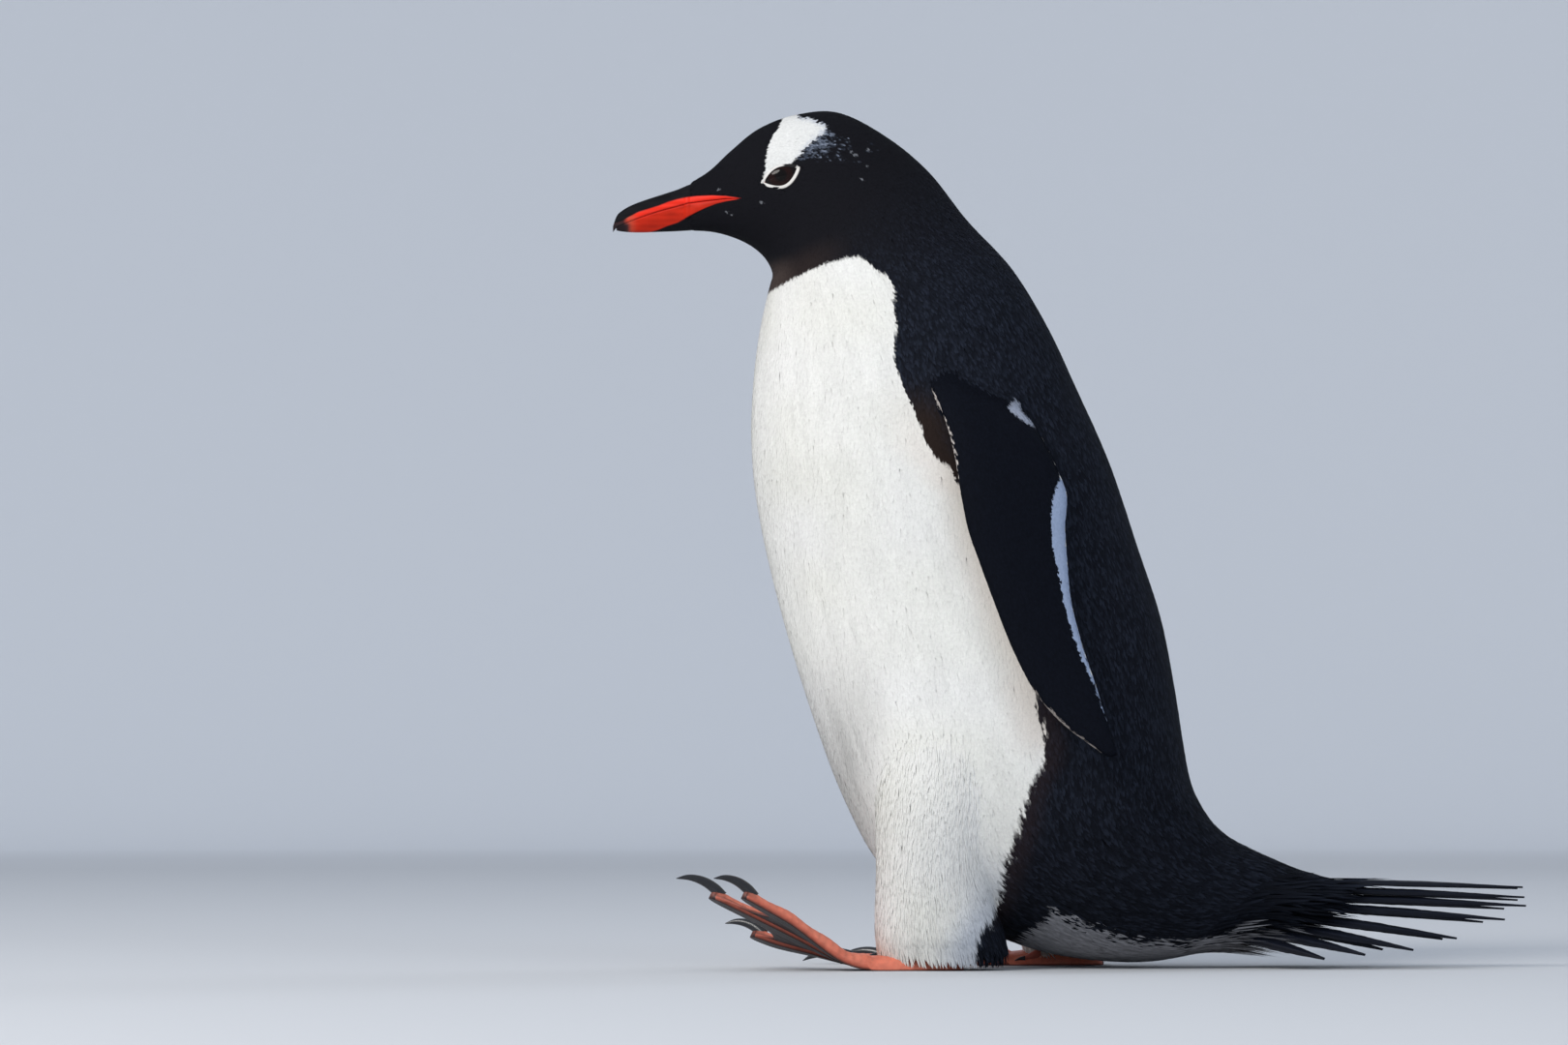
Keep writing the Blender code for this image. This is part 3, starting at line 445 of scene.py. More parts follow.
def triangles(mesh):
    mesh.calc_loop_triangles()
    tri = np.empty(len(mesh.loop_triangles) * 3, np.int32)
    mesh.loop_triangles.foreach_get("vertices", tri)
    co = np.empty(len(mesh.vertices) * 3, np.float32)
    mesh.vertices.foreach_get("co", co)
    return co.reshape(-1, 3).astype(float) / MM, tri.reshape(-1, 3)


plumage = make_material("plumage", rough=0.80, spec=0.06, tint=True, vary=0.05, vary_scale=900.0)
skin_mat = make_material("skin_under_plumage", rough=0.85, spec=0.05, tint=True, vary=0.06, vary_scale=500.0)

# ================================================================ the skin
NS, NA = ((200, 132))
NR, NB = ((90, 52))
NL, NC = ((46, 52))
angles = lambda n: np.linspace(0, 2 * math.pi, n, endpoint=False)
s_axis = np.linspace(0.0, S_END, NS)
f_axis = np.linspace(0.0, R_END, NR)
body_depth = coat_depth(s_axis)[:, None]
grids = [body_point(s_axis[:, None], angles(NA)[None], -body_depth)]
axes = [(s_axis, angles(NA))]
for side in (1, -1):
    grids.append(flipper_point(side, f_axis[:, None], angles(NB)[None], -FLIPPER_DEPTH))
    axes.append((f_axis, angles(NB)))
for side, rows in ((1, LEG_L), (-1, LEG_R)):
    l_axis = np.linspace(0, len(rows) - 1, NL)
    grids.append(leg_point(rows, side, l_axis[:, None], angles(NC)[None], -LEG_DEPTH))
    axes.append((l_axis, angles(NC)))

parts = [mesh_of("skin_part_%d" % i, *capped(g)) for i, g in enumerate(grids)]
for p in parts:
    bpy.context.scene.collection.objects.link(p)
skin = parts[0]
for p in parts[1:]:
    step = skin.modifiers.new(p.name, "BOOLEAN")
    step.solver, step.operation, step.object = "EXACT", "UNION", p
bpy.context.view_layer.update()
graph = bpy.context.evaluated_depsgraph_get()
joined = bpy.data.meshes.new_from_object(skin.evaluated_get(graph))
skin.modifiers.clear()
skin.data = joined
skin.name = "skin"
for p in parts[1:]:
    bpy.data.objects.remove(p)
bm = bmesh.new()
bm.from_mesh(joined)
bmesh.ops.triangulate(bm, faces=[f for f in bm.faces if len(f.verts) > 4])
bmesh.ops.remove_doubles(bm, verts=bm.verts, dist=2e-5)
bmesh.ops.recalc_face_normals(bm, faces=bm.faces)
bm.to_mesh(joined)
bm.free()
skin_co, skin_tri = triangles(joined)

edges = np.concatenate([skin_tri[:, [0, 1]], skin_tri[:, [1, 2]], skin_tri[:, [2, 0]]])
edges = np.unique(np.sort(edges, axis=1), axis=0)
valence = np.bincount(edges.ravel(), minlength=len(skin_co)).astype(float)


def spread(values, rounds, mask=None, amount=0.6):
    """Evens out per-vertex values over the skin's edges."""
    values = values.copy()
    flat = values.ndim == 1
    v = values[:, None] if flat else values
    for _ in range(rounds):
        total = np.zeros_like(v)
        for c in range(v.shape[1]):
            total[:, c] = (np.bincount(edges[:, 0], v[edges[:, 1], c], len(v))
                           + np.bincount(edges[:, 1], v[edges[:, 0], c], len(v)))
        even = v + (total / np.maximum(valence, 1)[:, None] - v) * amount
        v = even if mask is None else np.where(mask[:, None], even, v)
    return v[:, 0] if flat else v


# which surface each vertex came from, and where it is on it
trees, quads = [], []
for grid in grids:
    rows, cols = grid.shape[:2]
    faces = grid_faces(rows, cols)
    trees.append(BVHTree.FromPolygons([Vector(p) for p in grid.reshape(-1, 3).tolist()], faces))
count = len(skin_co)
near = np.full((count, len(grids)), 1e3)
cell = np.zeros((count, len(grids)), int)
low = [g.reshape(-1, 3).min(0) - 20 for g in grids]
high = [g.reshape(-1, 3).max(0) + 20 for g in grids]
for g in range(len(grids)):
    inside = np.flatnonzero(((skin_co > low[g]) & (skin_co < high[g])).all(1))
    for i in inside:
        hit = trees[g].find_nearest(skin_co[i])
        if hit[0] is not None:
            near[i, g], cell[i, g] = hit[3], hit[2]
part = near.argmin(1)
near_sorted = np.sort(near, axis=1)
seam = near_sorted[:, 1] < 7.0


def place_on(g, points, cells):
    """Fractional (row, angle) of points on grid g."""
    rows, cols = grids[g].shape[:2]
    r, k = cells // cols, cells % cols
    p = grids[g][r, k]
    dr = grids[g][np.minimum(r + 1, rows - 1), k] - p
    dk = grids[g][r, (k + 1) % cols] - p
    rel = points - p
    tr = np.clip((rel * dr).sum(-1) / np.maximum((dr * dr).sum(-1), 1e-9), 0, 1)
    tk = np.clip((rel * dk).sum(-1) / np.maximum((dk * dk).sum(-1), 1e-9), 0, 1)
    axis, ring = axes[g]
    s = np.interp(r + tr, np.arange(rows), axis)
    return s, (k + tk) * (2 * math.pi / cols)


par_s, par_a = np.zeros(count), np.zeros(count)
lie = np.zeros((count, 3))
for g in range(len(grids)):
    mine = np.flatnonzero(part == g)
    if not len(mine):
        continue
    s, a = place_on(g, skin_co[mine], cell[mine, g])
    par_s[mine], par_a[mine] = s, a
    e = 0.15
    if g == 0:
        s0, s1 = np.clip(s - e, 0, S_END), np.clip(s + e, 0, S_END)
        way = body_point(s1, a) - body_point(s0, a)
    elif g < 3:
        side = 1 if g == 1 else -1
        s0, s1 = np.clip(s - e, 0, R_END), np.clip(s + e, 0, R_END)
        way = unit(flipper_point(side, s1, a) - flipper_point(side, s0, a))
        way[:, 1] += 0.22 * np.interp(-np.cos(a), [-1, 1], [1, 0])
    else:
        rows, side = (LEG_L, 1) if g == 3 else (LEG_R, -1)
        s0, s1 = np.clip(s - e, 0, len(rows) - 1), np.clip(s + e, 0, len(rows) - 1)
        way = unit(leg_point(rows, side, s1, a) - leg_point(rows, side, s0, a))
        way[:, 1] += 0.10
    lie[mine] = unit(way)
lie[(np.linalg.norm(lie, axis=1) < 0.5)] = (0, 0, -1)
# round the tail the coverts turn to run along the stiff feathers
fan = np.stack([np.sign(skin_co[:, 0]) * np.interp(np.abs(skin_co[:, 0]), [0, 20], [0.0, 0.36]), np.ones(count),
                np.interp(skin_co[:, 2], [12, 50, 58], [-0.22, -0.05, -0.12])], -1)
to_fan = np.where(part == 0, smooth01(20.5, 23.0, par_s), 0)
lie = unit(mix(lie, unit(fan), to_fan))

# the joins are rounded off, and the skin is set in round each eye
skin_co = spread(skin_co, 10, seam & (par_s > 2), 0.5)
spacing_v = np.where(part == 0, np.interp(par_s, [0, 2, 4, 6, 8, 10, 20, 23, 25], [0.56, 0.63, 0.72, 0.85, 1.06, 1.22, 1.28, 1.62, 1.80]),
                     np.where(part < 3, 0.86, 1.06))
length_v = np.where(part == 0, np.interp(par_s, [0, 1.5, 4, 6, 8, 10, 18, 21, 23, 25], [2.2, 3.0, 4.0, 5.5, 8.0, 10.5, 12.0, 15.0, 22.0, 27.0]),
                    np.where(part < 3, 4.6, 12.5))
depth_v = np.where(part == 0, coat_depth(par_s), np.where(part < 3, FLIPPER_DEPTH, LEG_DEPTH))
lie = unit(spread(lie, 14))
spacing_v, length_v, depth_v = spread(spacing_v, 6), spread(length_v, 8), spread(depth_v, 8)

# ---- eye opening: an almond tilted up to the rear, in the plane of the cheek
ALMOND_HALF, ALMOND_UP, ALMOND_DOWN, ALMOND_TILT = 9.5, 4.1, 5.5, math.radians(23)
ALMOND_MID = np.array([-158.9, 439.8])
AU = np.array([math.cos(ALMOND_TILT), math.sin(ALMOND_TILT)])
AV = np.array([-math.sin(ALMOND_TILT), math.cos(ALMOND_TILT)])
BALL_N, BALL_U, BALL_UP, BALL_DOWN, BALL_LEAN = 7.6, 12.5, 7.6, 8.8, 0.13
ball_low, ball_high = (np.array(v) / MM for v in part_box("eye_L"))
ball_pole = ball_high[0] - 1.0


def almond(phi, grow=0.0):
    u = ALMOND_HALF * np.cos(phi)
    t = np.abs(u / ALMOND_HALF)
    v = np.where(np.sin(phi) > 0, ALMOND_UP, -ALMOND_DOWN) * (1 - t ** 1.9) ** 1.0
    p = np.stack([u, v], -1)
    if np.any(grow):
        q = np.stack([ALMOND_HALF * np.cos(phi), (ALMOND_UP + ALMOND_DOWN) / 2 * np.sin(phi)], -1)
        way = np.stack([q[:, 0] / ALMOND_HALF ** 2, q[:, 1] / 5.15 ** 2], -1)
        p = p + unit(way) * np.reshape(grow, (-1, 1))
    return p


def to_yz(p):
    return ALMOND_MID + p[..., :1] * AU + p[..., 1:] * AV


def to_almond(yz):
    rel = yz - ALMOND_MID
    return np.stack([rel @ AU, rel @ AV], -1)


ALMOND_LINE = almond(np.linspace(0, 2 * math.pi, 60, endpoint=False))


def ball_height(u, v):
    """How far out from the middle plane the eyeball's front is."""
    q = np.clip(1 - (u / BALL_U) ** 2 - (v / np.where(v > 0, BALL_UP, BALL_DOWN)) ** 2, 0.0, 1)
    return ball_pole - BALL_N + BALL_N * np.sqrt(q) + BALL_LEAN * u


def eye_distance(co):
    """Distance outside the eye opening, for points on the head; large elsewhere."""
    out = np.full(len(co), 99.0)
    here = np.flatnonzero((np.abs(co[:, 0]) > 12) & (np.abs(co[:, 1] - EYE_Y) < 22) & (np.abs(co[:, 2] - EYE_Z) < 20))
    if len(here):
        out[here] = -outline_distance(to_almond(co[here, 1:]), ALMOND_LINE)
    return out


d_eye = eye_distance(skin_co)
sunk = np.flatnonzero(d_eye < 2.2)
uv = to_almond(skin_co[sunk, 1:])
want = ball_height(uv[:, 0], uv[:, 1]) - 1.4
share = 1 - smooth01(0.6, 2.2, d_eye[sunk])
x = np.abs(skin_co[sunk, 0])
skin_co[sunk, 0] = np.sign(skin_co[sunk, 0]) * (x + (np.minimum(want, x) - x) * share)

joined.vertices.foreach_set("co", (skin_co * MM).astype(np.float32).ravel())
joined.update()
skin_tree = BVHTree.FromPolygons([Vector(p) for p in skin_co.tolist()], skin_tri.tolist())
face_n = unit(np.cross(skin_co[skin_tri[:, 1]] - skin_co[skin_tri[:, 0]], skin_co[skin_tri[:, 2]] - skin_co[skin_tri[:, 0]]))
area = np.linalg.norm(np.cross(skin_co[skin_tri[:, 1]] - skin_co[skin_tri[:, 0]], skin_co[skin_tri[:, 2]] - skin_co[skin_tri[:, 0]]), axis=1) / 2
vert_n = np.zeros_like(skin_co)
for c in range(3):
    for k in range(3):
        vert_n[:, c] += np.bincount(skin_tri[:, k], face_n[:, c] * area, len(skin_co))
vert_n = unit(spread(unit(vert_n), 2))
calm_n = unit(spread(vert_n, 36))
volume = (skin_co[skin_tri[:, 0]] * np.cross(skin_co[skin_tri[:, 1]], skin_co[skin_tri[:, 2]])).sum() / 6
if volume < 0:
    vert_n, face_n, calm_n = -vert_n, -face_n, -calm_n
lie = unit(lie - vert_n * (lie * vert_n).sum(1)[:, None])


# ================================================================ colours
def ragged(p, size, amount, seed):
    """Noise that roughens the edge of a marking."""
    return (noise(p[:, 1] / size + p[:, 0] / size * 0.7, p[:, 2] / size - p[:, 0] / size * 0.3, seed) - 0.5) * 2 * amount


def markings(co, part, s, a, chance):
    """Base and tip colour of plumage at points on the bird."""
    x, y, z = co.T
    n = len(co)
    jit = chance[:, 0] - 0.5
    base = np.tile(BACK, (n, 1))
    tip = mix(BACK, BACK_TIP, np.clip(0.15 + 0.75 * chance[:, 1] ** 2 + 0.1 * jit, 0, 1))
    rump = np.where(part == 0, 1 - 0.22 * smooth01(13, 19, s), 1.0)[:, None]
    base, tip = base * rump, tip * rump
    # head: velvety black, browner on the throat
    head = 1 - smooth01(6.0, 9.5, s)
    head = np.where(part == 0, head, 0)
    base, tip = mix(base, HEAD, head), mix(tip, np.tile(HEAD * 1.25, (n, 1)), head)
    throat = np.interp(y, THROAT[:, 0], THROAT[:, 1]) - np.interp(y, [-176, -166, -140, -112, -100], [3.8, 3.4, 2.4, 1.7, 0.4])
    brown = np.where(part == 0, smooth01(19, 3, z - throat) * smooth01(-114, -146, y) * (z > 366), 0) * 0.9
    base, tip = mix(base, THROAT_BROWN, brown), mix(tip, THROAT_BROWN * 1.25, brown)
    tan = np.where(part == 0, smooth01(397, 384, z) * smooth01(-146, -162, y) * (z > 370), 0) * 0.85
    base, tip = mix(base, srgb(70, 60, 57), tan), mix(tip, srgb(76, 65, 61), tan)
    # the front is white up to the throat line and back to the flank line
    flank = np.interp(z, FLANK[:, 1], FLANK[:, 0]) + 9.0 * smooth01(268, 256, z) * smooth01(150, 166, z)
    shift = np.where(x < 0, np.interp(z, [12, 60, 125, 200], [80, 60, 30, 0]), 0)
    soft = np.interp(z, [20, 60, 150, 200, 300, 390], [3.4, 3.4, 2.6, 1.0, 0.40, 0.14])
    fine = noise((y + 0.18 * z) / 0.95, z / 11.0, 3) * 0.65 + noise((y + 0.1 * z) / 2.4, z / 17.0, 13) * 0.35 - 0.5
    d = np.minimum(throat - z, flank + shift - y) + fine * soft * 1.9 + jit * soft * 0.7
    under = (part == 0) & (s > 17.5) & (z < 70) & (np.abs(x) < np.interp(y, [-70, -52, -44, -35], [60, 38, 30, -9]) + jit * 3)
    blur = np.interp(z, [20, 60, 150, 200, 300], [1.2, 1.2, 0.9, 0.45, 0.22])
    whiteness = np.where(under, 1.0, smooth01(-blur, blur, d) * (z < 398))
    whiteness = np.where((part == 1) | (part == 2), 0.0, whiteness)
    white = whiteness > 0.5
    girth = a * np.where(part == 0, 75.0, 28.0)
    streak = noise(girth / 1.4, z / 17.0, 9)
    cloud = noise(girth / 26.0, z / 30.0, 12)
    value = 0.90 + 0.09 * streak + 0.05 * (cloud - 0.5) + 0.05 * jit + 0.045 * smooth01(240, 180, z) * smooth01(70, 110, z)
    warm = np.stack([np.ones(n), 0.985 + 0.012 * chance[:, 1], 0.95 + 0.035 * cloud], -1)
    # painted shade on the lower front of the belly, by the legs, darker downward and broken into streaks by noise
    belly_painted_shade = np.where(part == 0, smooth01(196, 100, z) * smooth01(-93, -122, y), 0) * 0.33
    belly_painted_shade = belly_painted_shade * (0.55 + 0.5 * noise(girth / 1.5, z / 20.0, 31) + 0.4 * noise(girth / 9.0, z / 34.0, 37))
    snow = WHITE * warm * (value * (1 - belly_painted_shade))[:, None]
    gap = flank + shift - y
    # slightly darker, warmer white along the flank line in front of the flipper
    warm_near_flank = smooth01(26, 4, gap) * smooth01(110, 130, z) * smooth01(330, 260, z) * 0.55
    # painted blue shade on the lower outer side of the leg, next to the flank line
    painted_blue_shade = smooth01(26, 5, gap) * smooth01(74, 14, z) * smooth01(44, 56, x) * 0.45
    snow = mix(mix(snow, srgb(226, 214, 203), warm_near_flank), srgb(150, 166, 194), painted_blue_shade)
    base, tip = mix(base, snow * 0.93, whiteness), mix(tip, snow, whiteness)
    rusty = np.where(~white, smooth01(16, 3, y - flank - shift) * smooth01(18, 34, z) * smooth01(162, 140, z), 0) * 0.5
    base, tip = mix(base, srgb(34, 27, 29), rusty), mix(tip, srgb(48, 37, 38), rusty)
    # dark brown wedge between the white front and the flipper
    wedge = np.where((part == 0) & ~white, smooth01(26, 4, y - flank) * smooth01(262, 272, z) * smooth01(326, 298, z), 0)
    base, tip = mix(base, RUFOUS_BLACK, wedge), mix(tip, RUFOUS_BLACK * 1.3, wedge)
    # vent and undertail coverts: white feathers painted grey, painted shade under the body
    vent = np.interp(y, VENT[:, 0], VENT[:, 1], left=-50) - z + ragged(co, 3.0, 2.0, 5) + jit * 8
    pale = (part == 0) & (vent > 0) & (y > -34) & (s > 17) & (s < 24.2)
    grey = VENT_WHITE_IN_SHADE * (0.8 + 0.4 * chance[:, 1])[:, None]
    base, tip = np.where(pale[:, None], grey * 0.8, base), np.where(pale[:, None], grey, tip)
    # white patch over the crown, breaking into flecks behind
    near_crown = (part == 0) & (s < 9) & (z > 430)
    yz = np.stack([y, z], -1)
    crown = np.full(n, -99.0)
    fleck = np.full(n, -99.0)
    if near_crown.any():
        crown[near_crown] = outline_distance(yz[near_crown], CROWN_PATCH)
        fleck[near_crown] = outline_distance(yz[near_crown], FLECKS)
    rear = smooth01(-152, -146, y)
    edge = crown + ragged(co, 1.6, 0.25 + 0.9 * rear, 7) + jit * (0.3 + 1.2 * rear)
    patch = edge > 0
    haze = smooth01(-1.0, 4.0, fleck) * np.interp(crown, [-34, -20, -9, -2.5, 0], [0.0, 0.20, 0.46, 0.80, 0.95])
    streaks = noise(y / 4.5 + 3, z / 0.9, 15) * 0.6 + noise(y / 2.2 + z / 7.0, z / 1.0, 33) * 0.4
    haze = np.where(haze > 0.01, np.clip((haze + streaks * 1.25 - 1.10 + 0.50 * jit) * 2.0, 0, 1), 0)
    stray = (part == 0) & (s < 6.5) & (chance[:, 2] > 0.9994) & (z > 405) & (x < 0)
    for spot_y, spot_z, spot_r in SPOTS:
        stray |= (part == 0) & (x > 0) & (((y - spot_y) / (0.90 * spot_r)) ** 2 + ((z - spot_z) / (0.66 * spot_r)) ** 2 < 1 + jit)
    white_patch = mix(WHITE * (0.88 + 0.08 * chance[:, 1])[:, None], srgb(150, 160, 182), smooth01(3.4, 0.0, edge) * rear * 0.75 * chance[:, 0])
    base, tip = np.where(patch[:, None], white_patch * 0.92, base), np.where(patch[:, None], white_patch, tip)
    speck = mix(srgb(38, 45, 57), srgb(146, 155, 172), np.clip(haze * 0.30 + 0.75 * streaks * chance[:, 1], 0, 1) ** 1.5)
    show = np.where(patch, 0, np.clip(haze * 1.5, 0, 1))
    tip = mix(tip, speck, show)
    base = mix(base, speck * 0.5, show)
    tip = np.where(stray[:, None], srgb(112, 114, 119), tip)
    # flippers
    wing = (part == 1) | (part == 2)
    along, outer = -np.cos(a), np.sin(a) > 0
    dark = FLIPPER_BLACK * (0.9 + 0.35 * chance[:, 1])[:, None]
    paint = dark * 1.0
    line = y - np.interp(z, STRIPE[:, 1], STRIPE[:, 0]) + jit * 0.9 + ragged(co, 1.2, 0.45, 21)
    trail = outer & (line > 0) & (z < 288) & (z > 143) & (along > 0.2)
    trail |= (~outer) & (along > 0.90) & (s > 2.5) & (s < 11.2)
    # the white stripe is painted in its shaded bluish grey
    paint = np.where(trail[:, None], STRIPE_WHITE_IN_SHADE * (0.93 + 0.1 * chance[:, 1])[:, None], paint)
    rim_width = np.interp(s, [1.0, 1.7, 3.4, 4.5, 9.7, 10.4, 11.8, 12.7], [0, 0.022, 0.022, 0, 0, 0.030, 0.030, 0])
    rim_tone = mix(np.tile(srgb(196, 188, 182), (n, 1)), srgb(150, 142, 136), smooth01(6, 10, s))
    paint = mix(paint, rim_tone, smooth01(-0.002, 0.002, -1.004 + rim_width * 1.17 - along))
    inner = (~outer) & (along > -0.84 + 0.05 * jit + 0.03 * ragged(co, 5, 1, 4)) & (s < 10.6 + 1.2 * jit)
    paint = np.where(inner[:, None], WHITE * (0.86 + 0.1 * chance[:, 1])[:, None], paint)
    base, tip = np.where(wing[:, None], paint * 0.92, base), np.where(wing[:, None], paint, tip)
    # tuft of white where the flipper's rear edge leaves the back, painted a bluish grey: painted shade, mixed from the
    # stripe's shaded white
    tuft = np.full(n, -9.0)
    by_wing = (z > 290) & (z < 320) & (np.abs(x) > 52) & ((part == 0) | (outer & wing))
    if by_wing.any():
        tuft[by_wing] = outline_distance(yz[by_wing], AXILLA)
    lit = smooth01(-0.3, 0.5, tuft + jit * 1.0)
    down = mix(STRIPE_WHITE_IN_SHADE, srgb(160, 160, 166), 0.6) * (0.80 + 0.35 * chance[:, 1])[:, None]
    return mix(base, down * 0.9, lit), mix(tip, down, lit)


even = np.full((len(skin_co), 3), 0.5)
skin_base, skin_tip = markings(skin_co, part, par_s, par_a, even)
layer = joined.attributes.new("tint", "FLOAT_COLOR", "POINT")
rgba = np.ones((len(skin_co), 4), np.float32)
rgba[:, :3] = skin_base * 0.6 + skin_tip * 0.4
layer.data.foreach_set("color", rgba.ravel())
joined.polygons.foreach_set("use_smooth", np.ones(len(joined.polygons), bool))
joined.materials.clear()
joined.materials.append(skin_mat)
put(skin, "trunk_plumage", "head", "neck", "trunk", "tail", "leg_L", "leg_R", "flipper_L", "flipper_R")

# ================================================================ where feathers grow
spacing_f = spacing_v[skin_tri].mean(1)
KEEP_RADIUS = 0.80
over = 3.0
expected = area / spacing_f ** 2 * over
many = np.floor(expected + rng.random(len(expected))).astype(int)
tri_of = np.repeat(np.arange(len(skin_tri)), many)
bary = rng.dirichlet((1, 1, 1), len(tri_of))
corner = skin_tri[tri_of]
take = lambda values: (values[corner] * (bary if values.ndim == 1 else bary[..., None])).sum(1)
root = take(skin_co)
space = take(spacing_v)
order = rng.permutation(len(root))
tree = KDTree(len(root))
for i, p in enumerate(root.tolist()):
    tree.insert(p, i)
tree.balance()
state = np.zeros(len(root), np.int8)
find = tree.find_range
root_list, radius_list = root.tolist(), (space * KEEP_RADIUS).tolist()
state_list = [0] * len(root)
for i in order.tolist():
    if state_list[i]:
        continue
    for _, j, _ in find(root_list[i], radius_list[i]):
        state_list[j] = 2
    state_list[i] = 1
kept = np.flatnonzero(np.array(state_list) == 1)
corner, bary = corner[kept], bary[kept]
root, space = root[kept], space[kept]
normal, way = unit(take(vert_n)), unit(take(lie))
length, depth = take(length_v), take(depth_v)
biggest = bary.argmax(1)
owner = corner[np.arange(len(kept)), biggest]
f_part, f_s, f_a = part[owner], par_s[owner], par_a[owner]
chance = rng.random((len(kept), 6))

# bare places: inside the eye's rim and on the red plates of the gape
WEDGE = np.concatenate([BILL_RED_TOP[BILL_RED_TOP[:, 0] > -212], BILL_RED_LOW[BILL_RED_LOW[:, 0] > -212][::-1]])
on_face = (f_part == 0) & (f_s < 3.2)
bare = eye_distance(root) < 1.6
wedge_d = np.full(len(root), -9.0)
wedge_d[on_face] = outline_distance(root[on_face, 1:], WEDGE)
bare |= wedge_d > -0.1
bare |= (f_part == 0) & (f_s < 0.06)
bare |= (f_part == 0) & (f_s > 24.6) & (normal[:, 1] > 0.75)
bare |= (f_part >= 3) & (root[:, 2] < 12.2)
tip_guess = root + way * length[:, None]
bare |= (eye_distance(tip_guess) < 0.9)
# few coverts stand on the blunt end of the body, behind those that lie over the stiff feathers
end_way = unit(np.stack([root[:, 0] * 0.008, np.ones(len(root)), np.full(len(root), -0.08)], -1))
bare |= (f_part == 0) & (f_s > 22.2) & (chance[:, 5] < 0.85 * smooth01(0.45, 0.8, (normal * end_way).sum(1)))
hold = ~bare
root, space, normal, way = root[hold], space[hold], normal[hold], way[hold]
length, depth, f_part, f_s, f_a, chance = length[hold], depth[hold], f_part[hold], f_s[hold], f_a[hold], chance[hold]
n = len(root)

# ================================================================ shape of each vane
# at the tail's root the coverts leave the body and lie back over the stiff feathers
fan_way = unit(np.stack([np.sign(root[:, 0]) * np.interp(np.abs(root[:, 0]), [0, 20], [0.0, 0.16]), np.ones(n),
                         np.interp(root[:, 2], [12, 50, 58], [-0.22, -0.04, -0.10])], -1))
leaving = np.where(f_part == 0, smooth01(21.5, 23.0, f_s) * smooth01(0.15, 0.6, (normal * fan_way).sum(1)), 0)
way = unit(mix(way, fan_way, leaving))
side_way = unit(np.cross(normal, way))
wild = np.where(f_part >= 3, 5.0, np.where(f_part > 0, 2.5, np.interp(f_s, [0, 5, 9, 17, 21, 25], [2.5, 3, 4, 5, 7, 7])))
turn = np.radians(rng.normal(0, 1, n) * wild)
way = unit(way * np.cos(turn)[:, None] + side_way * np.sin(turn)[:, None])
side_way = unit(np.cross(normal, way))
facing_back = np.where(f_part == 0, smooth01(22.0, 23.0, f_s) * smooth01(0.55, 0.95, (normal * fan_way).sum(1)), 0)
L = length * (0.86 + 0.28 * chance[:, 3]) * (1 + leaving * (1.1 * chance[:, 5] - 0.35)) * (1 - 0.45 * facing_back)
is_white = markings(root + way * (L * 0.8)[:, None], f_part, f_s, f_a, np.full((n, 3), 0.5))[1].mean(1) > 0.3
pointed = (f_part >= 3) | (f_s > 20.5)
W = space * np.where(f_part >= 3, 1.25, np.where(is_white, 1.45, np.where(pointed, 1.30, 1.45))) * (0.88 + 0.24 * chance[:, 4])
W = np.where((f_part == 0) & (f_s > 21), W * 1.1, W) * (1 - 0.2 * leaving)
T = np.array([0.0, 0.45, 0.80, 1.0])
free = np.maximum(np.where(f_part == 0, smooth01(21.8, 23.2, f_s), 0), leaving)
free = free + np.where(f_part >= 3, smooth01(26, 14, root[:, 2]), 0)
near_skin = np.empty((3, n, 3))
near_norm = np.empty((3, n, 3))
shade_n = np.empty((4, n, 3))
query = skin_tree.find_nearest
for k, t in enumerate(T[1:]):
    if k == 1:
        continue
    reach = root + way * (L * t)[:, None]
    touched = np.zeros(n, int)
    for i, p in enumerate(reach.tolist()):
        hit = query(p)
        near_skin[k, i] = hit[0]
        near_norm[k, i] = hit[1]
        touched[i] = hit[2]
    shade_n[k + 1] = unit(calm_n[skin_tri[touched]].mean(1))
    if volume < 0:
        near_norm[k] *= -1
    facing = (near_norm[k] * normal).sum(1) < 0.1
    near_norm[k][facing] = normal[facing]
near_skin[1] = near_skin[0] + (near_skin[2] - near_skin[0]) * ((T[2] - T[1]) / (T[3] - T[1]))
near_norm[1] = unit(near_norm[0] + near_norm[2] * 2)
shade_n[0] = unit(calm_n[owner[hold]])
shade_n[2] = unit(shade_n[1] + shade_n[3] * 2)
centres = [root + normal * (depth * np.where(is_white, 0.45, 0.38))[:, None]]
norms = [normal]
lift = rng.normal(0, 1, n) * np.where(is_white, 0.012, 0.03) * depth
fluff = np.where(f_part >= 3, 0.28, np.where((f_part == 0) & (f_s > 17), 0.30, 0.0)) * chance[:, 5] ** 3
for k, (t, dark_h, white_h) in enumerate(zip(T[1:], (0.84, 0.965, 0.990), (0.90, 0.978, 0.992))):
    h = np.where(is_white, white_h, dark_h)
    straight = root + way * (L * t)[:, None]
    base_p = near_skin[k] * (1 - free)[:, None] + straight * free[:, None]
    nn = unit(near_norm[k] * (1 - free)[:, None] + normal * free[:, None])
    centres.append(base_p + nn * ((depth * h + lift * t + fluff * t * t * depth) * (1 - 0.8 * leaving))[:, None])
    norms.append(nn)
centres = np.array(centres)
norms = np.array(norms)
along = unit(centres[2] - centres[0])
across = unit(np.cross(norms, along[None]))
flat_n = unit(np.cross(along[None], across))
widths = np.where(pointed, np.array([0.6, 1.0, 0.62, 0.0])[:, None], np.array([0.6, 1.0, 0.84, 0.0])[:, None]) * W / 2
verts = np.empty((n, 7, 3))
vane_n = np.empty((n, 7, 3))
